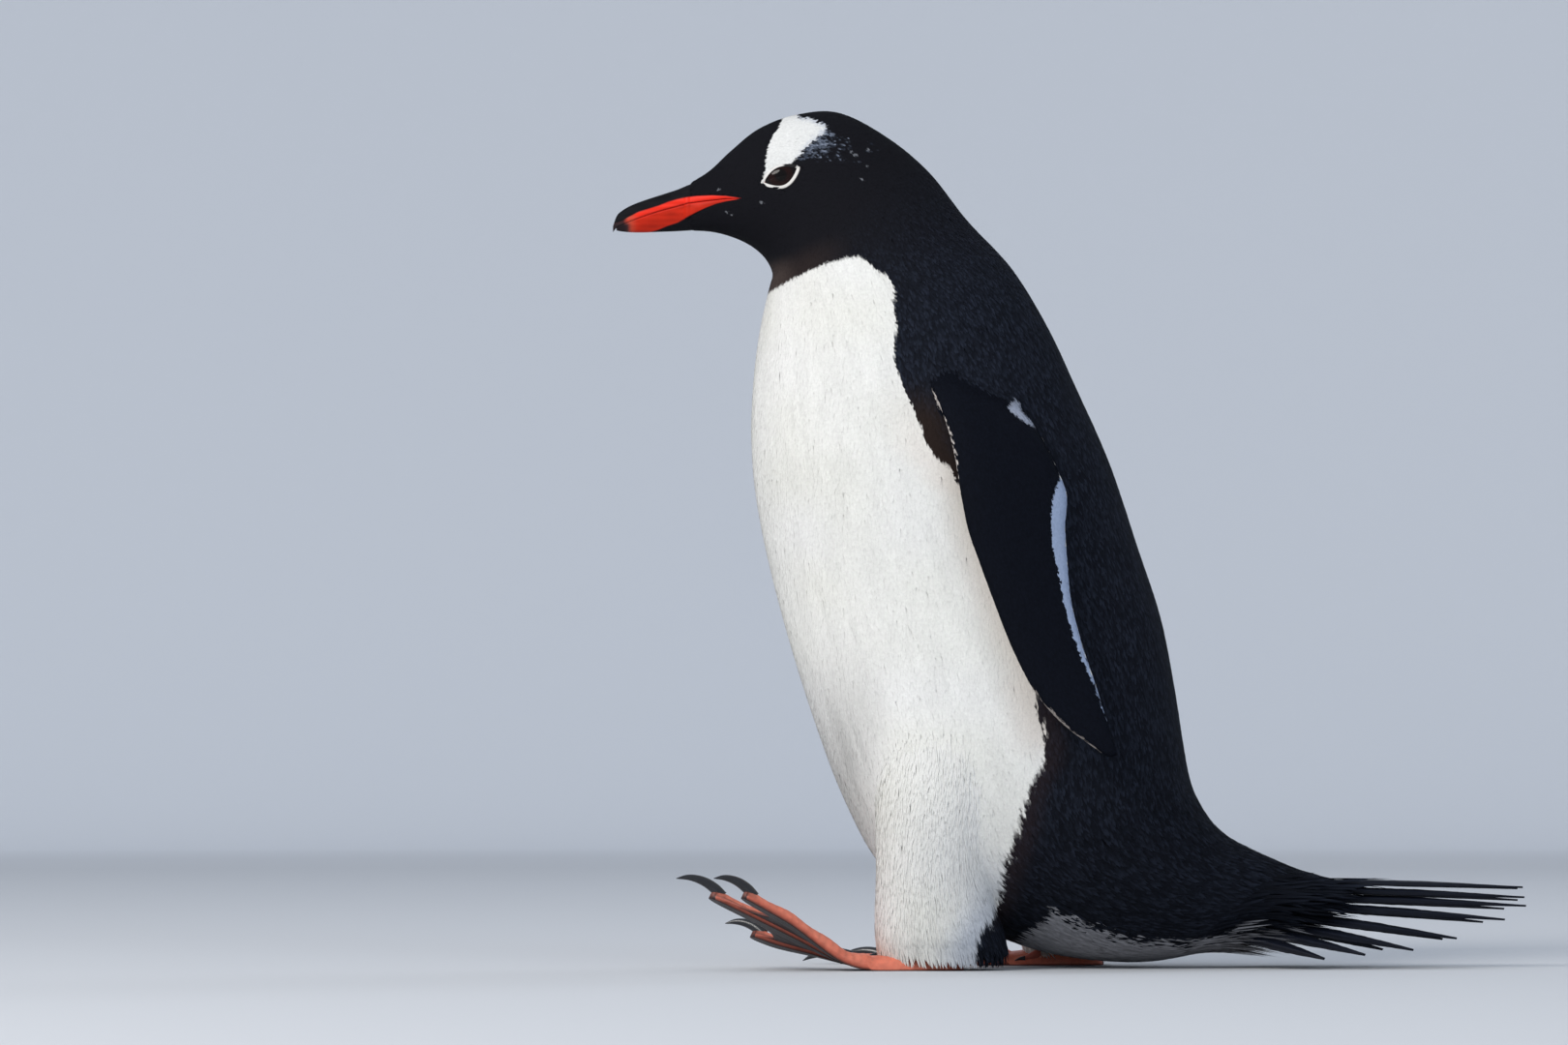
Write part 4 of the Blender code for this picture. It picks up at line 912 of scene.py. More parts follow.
# the shading of a close coat follows the body more than the single vane
follow = (np.where(is_white, 0.86, np.where((f_part > 0) & (f_part < 3), 0.85, 0.62)) * (1 - np.clip(free, 0, 1) * 0.7))[:, None]
for k in range(3):
    nn = unit(shade_n[k] * follow + flat_n[k] * (1 - follow))
    for j, way_out in ((2 * k, -1), (2 * k + 1, 1)):
        verts[:, j] = centres[k] + across[k] * (way_out * widths[k])[:, None]
        vane_n[:, j] = nn
verts[:, 6] = centres[3]
vane_n[:, 6] = unit(shade_n[3] * follow + flat_n[3] * (1 - follow))
verts[:, :, 2] = np.maximum(verts[:, :, 2], 1.2)
VANE = np.array([(0, 2, 3), (0, 3, 1), (2, 4, 5), (2, 5, 3), (4, 6, 5)])

tints = np.ones((n, 7, 4), np.float32)
for j, t, share, tone in ((0, 0.45, 0.0, 1.0), (2, 0.55, 0.4, 0.98), (4, 0.86, 0.9, 1.0), (6, 1.0, 1.0, 1.0)):
    base_c, tip_c = markings(root + way * (L * t)[:, None], f_part, f_s, f_a, chance[:, :3])
    c = np.clip((base_c * (1 - share) + tip_c * share) * tone, 0, 0.95)
    tints[:, j, :3] = c
    if j < 6:
        tints[:, j + 1, :3] = c

# ---- the map: each vane is a small patch at its root's place on the unrolled skin
arc = np.concatenate([[0], np.cumsum(np.linalg.norm(np.diff(STATIONS[:, [0, 1]] / 2 + STATIONS[:, [2, 3]] / 2, axis=0), axis=1))])
arc = arc / arc[-1]
u0 = 0.012 + 0.60 * (f_a / (2 * math.pi))
v0 = 0.012 + 0.975 * np.interp(f_s, np.arange(S_END + 1), arc)
for g, (bu, bv) in ((1, (0.64, 0.02)), (2, (0.82, 0.02)), (3, (0.64, 0.52)), (4, (0.82, 0.52))):
    m = f_part == g
    top = R_END if g < 3 else len(LEG_L if g == 3 else LEG_R) - 1
    u0[m] = bu + 0.16 * (f_a[m] / (2 * math.pi))
    v0[m] = bv + 0.46 * (f_s[m] / top)
PATCH = 0.003
CORNER = np.array([(-.3, -.5), (.3, -.5), (-.5, 0), (.5, 0), (-.4, .35), (.4, .35), (0, .5)]) * PATCH
uvs = np.stack([u0, v0], -1)[:, None, :] + CORNER[None]


def coat_piece(name, pick):
    k = len(pick)
    mesh = bpy.data.meshes.new(name)
    mesh.vertices.add(k * 7)
    mesh.vertices.foreach_set("co", (verts[pick] * MM).astype(np.float32).ravel())
    tri = (VANE[None] + (np.arange(k) * 7)[:, None, None]).reshape(-1, 3).astype(np.int32)
    mesh.loops.add(len(tri) * 3)
    mesh.loops.foreach_set("vertex_index", tri.ravel())
    mesh.polygons.add(len(tri))
    mesh.polygons.foreach_set("loop_start", np.arange(0, len(tri) * 3, 3, dtype=np.int32))
    mesh.polygons.foreach_set("use_smooth", np.ones(len(tri), bool))
    mesh.update(calc_edges=True)
    uv_layer = mesh.uv_layers.new(name="OFBake")
    flat = uvs[pick].reshape(-1, 2)[tri.ravel()]
    uv_layer.data.foreach_set("uv", flat.astype(np.float32).ravel())
    colour = mesh.attributes.new("tint", "FLOAT_COLOR", "POINT")
    colour.data.foreach_set("color", tints[pick].astype(np.float32).ravel())
    mesh.materials.append(plumage)
    mesh.normals_split_custom_set_from_vertices(vane_n[pick].reshape(-1, 3).astype(np.float32))
    obj = bpy.data.objects.new(name, mesh)
    put(obj, "trunk_plumage")
    return obj


pieces = max(1, math.ceil(n * 5 / 185000))
mixed = rng.permutation(n)
for i in range(pieces):
    coat_piece("coat_%d" % (i + 1), np.sort(mixed[i::pieces]))
print("vanes", n, "triangles", n * 5, "pieces", pieces, "skin", len(skin_tri))

# ================================================================ eyes and lids
head_grid = body_point(np.linspace(0, 8, 90)[:, None], angles(120)[None], 0.0)
head_tree = BVHTree.FromPolygons([Vector(p) for p in head_grid.reshape(-1, 3).tolist()], grid_faces(90, 120))


def cheek(y, z, default=0.0):
    """Half width of the feathered head where a ray from the side meets it."""
    out = np.full(np.shape(y), default, float)
    flat_y, flat_z = np.ravel(y), np.ravel(z)
    res = out.ravel()
    for i in range(len(flat_y)):
        hit = head_tree.ray_cast(Vector((90.0, flat_y[i], flat_z[i])), Vector((-1, 0, 0)))
        res[i] = hit[0].x if hit[0] else default
    return res.reshape(np.shape(y))


eye_mat = make_material("eye_wet", rough=0.07, spec=0.14, tint=True, coat=0.06, coat_rough=0.03)
lid_mat = make_material("eyelid", rough=0.6, spec=0.3, tint=True, bump=0.25, bump_scale=2500.0)
ER, EC = 40, 56
ring_a = angles(EC)
polar = np.linspace(0.02, math.pi - 0.02, ER)
u = np.sin(polar)[:, None] * np.cos(ring_a)[None] * BALL_U
v = np.sin(polar)[:, None] * np.sin(ring_a)[None]
v = v * np.where(v > 0, BALL_UP, BALL_DOWN)
out_n = (ball_pole - BALL_N) + BALL_N * np.cos(polar)[:, None] + BALL_LEAN * u
r_iris = np.hypot(u, v)
r_iris = np.where(polar[:, None] < math.pi / 2, r_iris, 99)
iris = srgb(30, 12, 9)
fibre = 0.85 + 0.3 * noise(ring_a[None] * 14 + 0 * u, r_iris * 0.8, 5)
eye_tint = iris[None, None] * fibre[..., None]
eye_tint = mix(eye_tint, srgb(11, 7, 6), 1 - smooth01(2.8, 4.0, r_iris))
eye_tint = mix(eye_tint, srgb(16, 11, 11), smooth01(6.2, 7.4, r_iris))
for side, tag in ((1, "L"), (-1, "R")):
    yz = to_yz(np.stack([u, v], -1))
    grid = np.stack([side * out_n, yz[..., 0], yz[..., 1]], -1)
    pts, faces = capped(grid)
    tint = np.concatenate([eye_tint.reshape(-1, 3), eye_tint[0].mean(0)[None], eye_tint[-1].mean(0)[None]])
    put(mesh_of("eyeball_" + tag, pts, faces, tint, eye_mat), "eye_ball", "eye_" + tag)

    phi = np.linspace(0, 2 * math.pi, 120, endpoint=False)
    offs = np.array([-0.35, -0.05, 0.12, 0.35, 0.7, 1.05, 1.3, 1.6, 2.2, 3.0])
    rows = []
    tint_rows = []
    bottom = np.sin(phi) < 0
    # white feathers ring the eye below, behind and at the front corner; the top rim is dark
    white_share = np.where(bottom, 1.0, 0.0)
    white_share = np.maximum(white_share, smooth01(0.42, 0.25, phi))
    white_share = np.maximum(white_share, smooth01(2.60, 2.85, phi))
    brow_share = smooth01(1.10, 1.30, phi) * smooth01(3.3, 3.1, phi)
    for e in offs:
        p = almond(phi, np.full(len(phi), e))
        yz = to_yz(p)
        surface = cheek(yz[:, 0], yz[:, 1], 20.0)
        ball = ball_height(np.clip(p[:, 0], -BALL_U * 0.98, BALL_U * 0.98), p[:, 1])
        if e < 0:
            h = ball - 0.25
        elif e < 0.1:
            h = ball + 0.18
        else:
            t = smooth01(0.1, 2.3, e)
            h = (ball + 0.35) * (1 - t) + (surface - 0.25) * t
            h = h + 0.12 * math.sin(math.pi * min(1, max(0, (e - 0.1) / 1.5)))
            if e > 2.0:
                h = np.minimum(h, surface - 0.5 - 0.5 * (e - 2.0))
        rows.append(np.stack([side * h, yz[:, 0], yz[:, 1]], -1))
        tone = white_share * (1.0 if 0.3 < e < 1.9 else 0.0)
        tone = np.maximum(tone, brow_share * (1.0 if e > 0.5 else 0.0))
        rim = mix(np.tile(srgb(22, 18, 19), (len(phi), 1)), srgb(226, 222, 216), tone)
        pink = smooth01(2.7, 3.05, phi) * smooth01(3.55, 3.2, phi) * (1.0 if e < 0.5 else 0.0)
        tint_rows.append(mix(rim, srgb(196, 150, 140), pink * 0.7))
    grid = np.array(rows)
    faces = grid_faces(len(offs), len(phi))
    put(mesh_of("eyelid_" + tag, grid.reshape(-1, 3), faces, np.array(tint_rows).reshape(-1, 3), lid_mat), "head_plumage")

# ================================================================ bill
bill_mat = make_material("bill_red", rough=0.45, spec=0.14, tint=True,
                         vary=0.10, vary_scale=120.0, stretch=(1.5, 0.35, 1.5), bump=0.06, bump_scale=700.0, subsurface=0.05)
horn_mat = make_material("bill_black", rough=0.62, spec=0.08, tint=True, vary=0.12, vary_scale=150.0,
                         stretch=(1.5, 0.35, 1.5), bump=0.05, bump_scale=700.0)


def split_horn(obj):
    """The dark faces of a piece of bill take the duller black horn."""
    mesh = obj.data
    mesh.materials.append(horn_mat)
    tints = np.empty(len(mesh.vertices) * 4, np.float32)
    mesh.attributes["tint"].data.foreach_get("color", tints)
    red = tints.reshape(-1, 4)[:, 0]
    index = np.zeros(len(mesh.polygons), np.int32)
    for face in mesh.polygons:
        index[face.index] = 1 if red[list(face.vertices)].mean() < 0.10 else 0
    mesh.polygons.foreach_set("material_index", index)
    return obj


def bill_colour(co):
    y, z = co[:, 1], co[:, 2]
    top = np.interp(y, BILL_RED_TOP[:, 0], BILL_RED_TOP[:, 1])
    lowline = np.interp(y, BILL_RED_LOW[:, 0], BILL_RED_LOW[:, 1])
    gape = np.interp(y, GAPE[:, 0], GAPE[:, 1])
    inside = np.minimum(top - z, z - lowline)
    inside = np.where(z > gape, top - z, z - lowline)
    horn = srgb(17, 17, 21)
    hot = srgb(238, 46, 26) * (0.92 + 0.2 * noise(y / 9.0, z / 1.1, 2))[:, None]
    low_red = srgb(192, 38, 15) * (0.85 + 0.3 * noise(y / 5.0, z / 1.4, 8))[:, None]
    red = mix(hot, low_red, smooth01(0.4, -1.5, z - gape))
    # painted shadow: a darker red line just above the gape groove
    red = mix(red, srgb(158, 22, 14), 0.60 * np.exp(-((z - gape - 0.25) / 0.75) ** 2) * smooth01(-183, -190, y))
    # toward the tip the red fades to a greyish rose, with a dark nail
    red = mix(red, srgb(190, 74, 52), smooth01(-238.0, -243.0, y) * 0.75)
    nail = smooth01(-241.5, -245.0, y) * smooth01(416.5, 414.0, z)
    red = mix(red, srgb(62, 42, 43), np.clip(nail, 0, 1))
    red = mix(red, srgb(38, 31, 34), smooth01(-243.6, -247.2, y) * 0.95)
    return mix(np.tile(horn, (len(co), 1)), red, smooth01(-0.35, 0.35, inside))


def bill_half(upper, count):
    rings = []
    lift = 0.06
    a = angles(count)
    c, d = np.cos(a), np.sin(a)
    for y, zt, zm, zb, w in BILL:
        if upper:
            lo, hi = zm + lift, zt
            z = np.where(c > 0, lo + (hi - lo) * np.maximum(0, c) ** 0.85, lo)
            x = np.where(c > 0, w * d, w * d * 0.98)
        else:
            lo, hi = zb, zm - lift
            z = np.where(c < 0, hi - (hi - lo) * np.maximum(0, -c) ** 0.75, hi)
            x = 0.94 * w * d * (1 - 0.22 * np.maximum(0, -c))
        if not rings:
            # the horn's hidden rear end, under the first feathers
            mid = (lo + hi) / 2
            rings.append(np.stack([x * 0.93, np.full(count, y + 5.0), mid + (z - mid) * 0.93], -1))
            rings.append(np.stack([x * 0.985, np.full(count, y + 1.5), mid + (z - mid) * 0.985], -1))
        rings.append(np.stack([x, np.full(count, y), z], -1))
    if upper:
        y, zt, zb, w = BILL_TIP
        rings.append(np.stack([w * d, np.full(count, y), (zt + zb) / 2 + (zt - zb) / 2 * c], -1))
    return rings


for upper, name in ((True, "bill_upper"), (False, "bill_lower")):
    count, rows = 144, 210
    grid = refine(bill_half(upper, count), rows)
    if upper:
        # nostril: a narrow slit low on the culmen's side, and the groove that runs on from it
        y, z = grid[..., 1], grid[..., 2]
        line = 430.2 + (y + 222.0) * 0.16
        groove = np.exp(-((z - line) / 0.8) ** 2) * smooth01(-236, -228, y) * smooth01(-208, -214, y)
        slit = np.exp(-((z - line) / 0.55) ** 2) * smooth01(-228.5, -226.5, y) * smooth01(-218.5, -220.5, y)
        grid[..., 0] -= np.sign(grid[..., 0]) * (0.25 * groove + 0.7 * slit) * (np.abs(grid[..., 0]) > 1.5)
    grid[..., 0] += np.sign(grid[..., 0]) * 0.12 * np.sin(grid[..., 2] * 1.9) * (np.abs(grid[..., 0]) > 2.0)
    pts, faces = capped(grid)
    put(split_horn(mesh_of(name + "_horn", pts, faces, bill_colour(pts), bill_mat)), "bill_horn", name)

# the red plates run back along the cheek to the corner of the mouth
lo_up = np.array(refine(bill_half(False, 96), 60))
for side, tag in ((1, "L"), (-1, "R")):
    for upper in (True, False):
        ys = np.linspace(-213.5, -180.6, 110)
        gape = np.interp(ys, GAPE[:, 0], GAPE[:, 1])
        if upper:
            edge = np.interp(ys, BILL_RED_TOP[:, 0], BILL_RED_TOP[:, 1]) + 0.5
        else:
            edge = np.interp(ys, BILL_RED_LOW[:, 0], BILL_RED_LOW[:, 1]) - 0.5
        ts = np.linspace(0, 1, 22)
        start = gape + (0.12 if upper else -0.12)
        z = start[:, None] + (edge - start)[:, None] * ts[None]
        y = ys[:, None] + 0 * z
        head_x = cheek(np.maximum(y, -209.2), np.clip(z, 412, 436), 6.0)
        zt = np.interp(y, [-217.0, -210.2], [434.2, 437.0])
        zm = np.interp(y, [-217.0, -210.2], [424.4, 426.0])
        zb = np.interp(y, [-217.0, -210.2], [411.0, 411.4])
        w = np.interp(y, [-217.0, -210.2], [6.8, 7.9])
        if upper:
            c = np.clip((z - zm - 0.15) / (zt - zm - 0.15), 0, 1) ** (1 / 0.85)
            bill_x = w * np.sqrt(np.clip(1 - c * c, 0, 1))
        else:
            c = np.clip((zm - 0.15 - z) / (zm - 0.15 - zb), 0, 1) ** (1 / 0.75)
            bill_x = 0.94 * w * np.sqrt(np.clip(1 - c * c, 0, 1)) * (1 - 0.22 * c)
        t = smooth01(-213.9, -210.2, y)
        x_out = (bill_x + 0.12) * (1 - t) + (head_x + 0.05) * t
        x_out += 0.30 * np.sin(np.pi * np.clip(ts, 0, 1))[None] * smooth01(-211.5, -203, y) * smooth01(-181, -188, y)
        x_out -= 0.4 * (1 - smooth01(-213.5, -211.8, y))
        x_out[:, 0] -= 0.40
        x_out[:, 1] -= 0.12
        x_out[:, -1] -= 1.1
        x_out[:, -2] -= 0.35
        x_out[-1] -= 0.8
        grid = np.stack([side * x_out, y, z], -1)
        name = "gape_plate_%s_%s" % ("upper" if upper else "lower", tag)
        pts = grid.reshape(-1, 3)
        put(split_horn(mesh_of(name, pts, grid_faces(len(ys), len(ts), False), bill_colour(pts), bill_mat)), "bill_horn")

# ================================================================ feet
foot_mat = make_material("foot_skin", rough=0.48, spec=0.4, tint=True, vary=0.14, vary_scale=260.0,
                         bump=0.5, bump_scale=900.0, subsurface=0.08)
claw_mat = make_material("claw_horn", colour=tuple(srgb(22, 22, 27)), rough=0.3, spec=0.5, coat=0.3, coat_rough=0.2,
                         vary=0.25, vary_scale=300.0)


def foot_frame(which, f, l, z):
    f, l, z = np.broadcast_arrays(np.asarray(f, float), np.asarray(l, float), np.asarray(z, float))
    x0, y0, pitch, roll, turn = FEET[which]
    side = 1.0 if which == "L" else -1.0
    r = np.radians(roll * smooth01(ROLL_F[0], ROLL_F[1], f))
    l, z = l * np.cos(r) - z * np.sin(r), z * np.cos(r) + l * np.sin(r)
    steps = 24
    py, pz = np.minimum(f, BEND_F[0]).astype(float), np.zeros(f.shape)
    span = np.maximum(f - BEND_F[0], 0)
    for i in range(steps):
        g = BEND_F[0] + span * (i + 0.5) / steps
        ang = np.radians(pitch) * smooth01(BEND_F[0], BEND_F[1], g)
        py = py + np.cos(ang) * span / steps
        pz = pz + np.sin(ang) * span / steps
    last = np.radians(pitch) * smooth01(BEND_F[0], BEND_F[1], f)
    fy, fz = py - np.sin(last) * z, pz + np.cos(last) * z
    t = math.radians(turn)
    return np.stack([side * (x0 + l * math.cos(t) + fy * math.sin(t)), y0 - (fy * math.cos(t) - l * math.sin(t)), fz], -1)


def toe_line(name, u):
    l0, f1, l1, w0, w1 = TOES[name]
    return KNUCKLE_F + (f1 - KNUCKLE_F) * u, l0 + (l1 - l0) * u, w0 + (w1 - w0) * u


def foot_surface(which):
    names = ["inner", "middle", "outer"]
    across_toe = np.linspace(-1, 1, 15)
    columns = []
    for i, name in enumerate(names):
        columns += [("toe", name, name, v) for v in across_toe]
        if i < 2:
            columns += [("web", name, names[i + 1], w) for w in np.linspace(0, 1, 11)[1:-1]]
    cols = len(columns)
    width_here = TOES["outer"][0] + TOES["outer"][3]
    grid, kind = [], []
    rear, toe = 22, 74
    for r in range(rear):
        t = r / rear
        f = FOOT_HEEL_F + (KNUCKLE_F - FOOT_HEEL_F) * t
        round_off = math.sqrt(max(0.0, 1 - (1 - min(1.0, t * 3.2 + 0.12)) ** 2))
        half = (HEEL_HALF_WIDTH + (width_here - HEEL_HALF_WIDTH) * float(smooth01(0, 1, t))) * round_off
        v = np.linspace(-1, 1, cols)
        edge = np.sqrt(np.maximum(0.0, 1 - np.abs(v) ** 3.0))
        thick = (PAD_HALF + (TOE_HALF - PAD_HALF) * float(smooth01(0.45, 1, t))) * (0.12 + 0.88 * edge) * (0.55 + 0.45 * round_off)
        grid.append(np.stack([np.full(cols, f), v * half, thick], -1))
        kind.append(np.stack([np.full(cols, -1 + t), np.zeros(cols), np.abs(v)], -1))
    for r in range(toe):
        u = r / (toe - 1)
        row, kin = [], []
        for what, a, b, v in columns:
            if what == "toe":
                f, l, w = toe_line(a, u * (1.0 - 0.035 * abs(v) ** 2))
                close = math.sqrt(max(0.0, 1 - max(0.0, (u - 0.9) / 0.1 * 0.86) ** 2))
                arch = math.sqrt(max(0.0, 1 - abs(v) ** 2.2))
                joint = 1 + 0.10 * math.cos(u * 3 * 2 * math.pi)
                thick = WEB_HALF + (TOE_HALF + (TOE_HALF_TIP - TOE_HALF) * u - WEB_HALF) * arch * joint
                row.append((f, l + v * w * (0.35 + 0.65 * close), thick * (0.45 + 0.55 * close)))
                kin.append((u, 1.0, abs(v)))
            else:
                reach = WEB_F - WEB_DIP / 90.0 * (1 - abs(2 * v - 1) ** 1.5)
                f0, l0, w0 = toe_line(a, u * reach)
                f1, l1, w1 = toe_line(b, u * reach)
                l0, l1 = l0 + w0, l1 - w1
                row.append((f0 + (f1 - f0) * v, l0 + (l1 - l0) * v, WEB_HALF * 0.85))
                kin.append((u, 0.0, abs(2 * v - 1)))
        grid.append(np.array(row))
        kind.append(np.array(kin))
    grid, kind = np.array(grid), np.array(kind)
    f, l, thick = grid[..., 0], grid[..., 1], grid[..., 2]
    u, is_toe, v = kind[..., 0], kind[..., 1], kind[..., 2]
    hang = np.where((thick < 1.6) & (f >= KNUCKLE_F), 1.6, 0.0)
    # broad scutes across the top of each toe, small scales on the pad and webs
    scute = np.abs(np.sin(np.maximum(u, 0) * 34.0 * math.pi / 2)) ** 0.5
    scales = noise(f / 1.3, l / 1.3, 6)
    top_rise = np.where(is_toe > 0.5, 0.20 * scute * (1 - v ** 2), 0.22 * (scales - 0.5))
    web_fold = np.where((is_toe < 0.5) & (u > 0), 0.25 * np.sin(u * 26.0) * (1 - v), 0)
    sole_rise = 0.25 * (noise(f / 1.6, l / 1.6, 16) - 0.3)
    top = foot_frame(which, f, l, hang + 2 * thick + top_rise + web_fold)
    sole_z = hang + np.maximum(sole_rise * (thick < 1.6), 0.0)
    low = foot_frame(which, f, l, sole_z + web_fold)
    low[..., 2] = np.maximum(low[..., 2], 0.0)
    rows = grid.shape[0]
    pts = np.concatenate([top.reshape(-1, 3), low.reshape(-1, 3)])
    m = rows * cols
    faces = []
    for r in range(rows - 1):
        for c in range(cols - 1):
            a = r * cols + c
            faces.append((a, a + 1, a + cols + 1, a + cols))
            faces.append((m + a, m + a + cols, m + a + cols + 1, m + a + 1))
    rim = [(0, c) for c in range(cols)] + [(r, cols - 1) for r in range(1, rows)]
    rim += [(rows - 1, c) for c in range(cols - 2, -1, -1)] + [(r, 0) for r in range(rows - 2, 0, -1)]
    for i, (r, c) in enumerate(rim):
        r2, c2 = rim[(i + 1) % len(rim)]
        a, b = r * cols + c, r2 * cols + c2
        faces.append((a, b, m + b, m + a))
    pink = srgb(222, 128, 102)
    rose = srgb(206, 104, 80)
    dusky = srgb(96, 54, 48)
    mottled = noise(f / 4.0, l / 4.0, 44)
    upper = mix(np.tile(pink, f.shape + (1,)), rose, 0.6 * mottled)
    upper = mix(upper, srgb(150, 82, 70), np.where(is_toe > 0.5, 0.0, 0.55) * (u > 0))
    upper = mix(upper, dusky, 0.55 * smooth01(0.86, 1.0, u) + 0.25 * (1 - scute) * (is_toe > 0.5) * (u > 0))
    lower = mix(np.tile(srgb(26, 21, 22), f.shape + (1,)), srgb(58, 38, 36), 0.6 * mottled)
    side_v = np.where(is_toe > 0.5, smooth01(0.88, 1.0, v), 0)
    lower = mix(lower, rose, side_v * 0.8)
    return pts, faces, np.concatenate([upper.reshape(-1, 3), lower.reshape(-1, 3)])


def claw_rings(which, toe, count=20):
    l0, f1, l1, _, _ = TOES[toe]
    heading = math.atan2(l1 - l0, f1 - KNUCKLE_F)
    start = f1 - CLAW_BURIED
    rise, droop = CLAW_ARC[which]
    rings, forward, height = [], 0.0, TOE_HALF_TIP + 1.5
    total = CLAW_LENGTH[toe] + CLAW_BURIED
    a = angles(count)
    for i in range(CLAW_ROWS):
        t = i / (CLAW_ROWS - 1)
        angle = math.radians(rise - (rise + droop) * t ** 1.2)
        radius = CLAW_RADIUS * (1 - t ** 1.6) ** 0.75 * 0.93 + 0.22
        if i:
            forward += math.cos(angle) * total / (CLAW_ROWS - 1)
            height += math.sin(angle) * total / (CLAW_ROWS - 1)
        sideways, up = np.cos(a) * radius * 0.86, np.sin(a) * radius
        f_local, z_local = forward - math.sin(angle) * up, height + math.cos(angle) * up
        f = start + math.cos(heading) * f_local - math.sin(heading) * sideways
        l = l1 - CLAW_BURIED * math.tan(heading) + math.sin(heading) * f_local + math.cos(heading) * sideways
        rings.append(foot_frame(which, f, l, z_local))
    return rings


def hallux(which, count=18):
    rings, tip = [], []
    a = angles(count)
    for i in range(5):
        t = i / 4
        radius = HALLUX_RADIUS * (0.62 + 0.38 * math.sin(math.pi * min(1, t + 0.25))) * (1 if t < 1 else 0.55)
        rings.append(foot_frame(which, 14.0 + HALLUX_LENGTH * t, -19.5 - 2.2 * t + np.cos(a) * radius,
                                7.6 - 3.2 * t + np.sin(a) * radius))
    for i in range(4):
        t = i / 3
        radius = 1.1 * (1 - t) ** 0.7 + 0.25
        tip.append(foot_frame(which, 14.0 + HALLUX_LENGTH + GAP - 0.8 + 5.8 * t, -21.7 - 0.6 * t + np.cos(a) * radius,
                              4.4 - 1.4 * t * t + np.sin(a) * radius))
    return rings, tip


for tag in ("L", "R"):
    pts, faces, tint = foot_surface(tag)
    put(mesh_of("foot_skin_" + tag, pts, faces, tint, foot_mat), "foot_skin", "foot_" + tag)
    for toe in TOES:
        pts, faces = capped(refine(claw_rings(tag, toe), 40))
        put(mesh_of("claw_horn_%s_%s" % (tag, toe), pts, faces, None, claw_mat), "claw_horn", "claw_%s_%s" % (tag, toe))
    rings, tip = hallux(tag)
    pts, faces = capped(refine(rings, 18))
    put(mesh_of("hallux_skin_" + tag, pts, faces, np.tile(srgb(190, 98, 80), (len(pts), 1)), foot_mat), "foot_skin", "hallux_" + tag)
    pts, faces = capped(refine(tip, 14))
    put(mesh_of("claw_horn_%s_hallux" % tag, pts, faces, None, claw_mat), "claw_horn", "claw_%s_hallux" % tag)

# ================================================================ tail feathers
tail_mat = make_material("tail_vane", rough=0.5, spec=0.10, tint=True, vary=0.15, vary_scale=700.0, stretch=(2.0, 0.25, 2.0))


def rectrix(k, tip, side, rows=44):
    share = k / (TAIL_PAIRS - 1)
    root_p = np.array(TAIL_ROOT_IN) + (np.array(TAIL_ROOT_OUT) - np.array(TAIL_ROOT_IN)) * share
    root_p = np.array([side * root_p[2], root_p[0], root_p[1]])
    end = np.array([side * tip[2], tip[0], tip[1]])
    way = end - root_p
    total = np.linalg.norm(way)
    way = way / total
    tilt = math.radians(TAIL_ROLL[0] + (TAIL_ROLL[1] - TAIL_ROLL[0]) * share)
    up = np.array([0.0, 0.0, 1.0]) - way * way[2]
    up /= np.linalg.norm(up)
    across = np.cross(way, up)
    if across[0] * side < 0:
        across = -across
    flat = across * math.cos(tilt) - up * math.sin(tilt)
    stand = across * math.sin(tilt) + up * math.cos(tilt)
    lat = np.array([-1, -0.66, -0.33, -0.12, 0, 0.12, 0.33, 0.66, 1.0])
    rings, tone = [], []
    for i in range(rows):
        t = i / (rows - 1)
        half = 2.6 + (TAIL_HALF[0] - 2.6) * min(1.0, t / 0.35)
        if t > 0.55:
            half = TAIL_HALF[0] + (TAIL_HALF[1] - TAIL_HALF[0]) * ((t - 0.55) / 0.45) ** 1.25
        shaft = (0.80 + (0.42 - 0.80) * t)
        wear = 1 - 0.10 * rng.random(2)
        middle = root_p + way * total * t + up * TAIL_SAG * math.sin(math.pi * t)
        spreads = lat * half * np.where(lat < 0, wear[0], wear[1])
        height = np.interp(np.abs(lat), [0, 0.12, 0.14, 1.0], [shaft, shaft * 0.7, 0.26, 0.12])
        bow = -0.25 * np.abs(lat) ** 2
        top = middle + flat * spreads[:, None] + stand * (height + bow)[:, None]
        bottom = middle + flat * spreads[::-1, None] + stand * (-height[::-1] + bow[::-1])[:, None]
        rings.append(np.concatenate([top, bottom]))
        barbs = 0.8 + 0.4 * rng.random(18)
        shine = np.where(np.abs(np.concatenate([lat, lat[::-1]])) < 0.14, 1.6, 1.0)
        tone.append(srgb(14, 17, 26)[None] * (barbs * shine)[:, None])
    return np.array(rings), np.array(tone)


all_pts, all_faces, all_tint, base_i = [], [], [], 0
for side, tips in ((1, TAIL_TIPS_L), (-1, TAIL_TIPS_R)):
    for k, tip in enumerate(tips):
        grid, tone = rectrix(k, tip, side)
        pts, faces = capped(grid)
        tint = np.concatenate([tone.reshape(-1, 3), tone[0].mean(0)[None], tone[-1].mean(0)[None]])
        all_pts.append(pts)
        all_tint.append(tint)
        all_faces += [tuple(i + base_i for i in f) for f in faces]
        base_i += len(pts)
put(mesh_of("tail_feathers", np.concatenate(all_pts), all_faces, np.concatenate(all_tint), tail_mat), "tail_plumage", "tail")

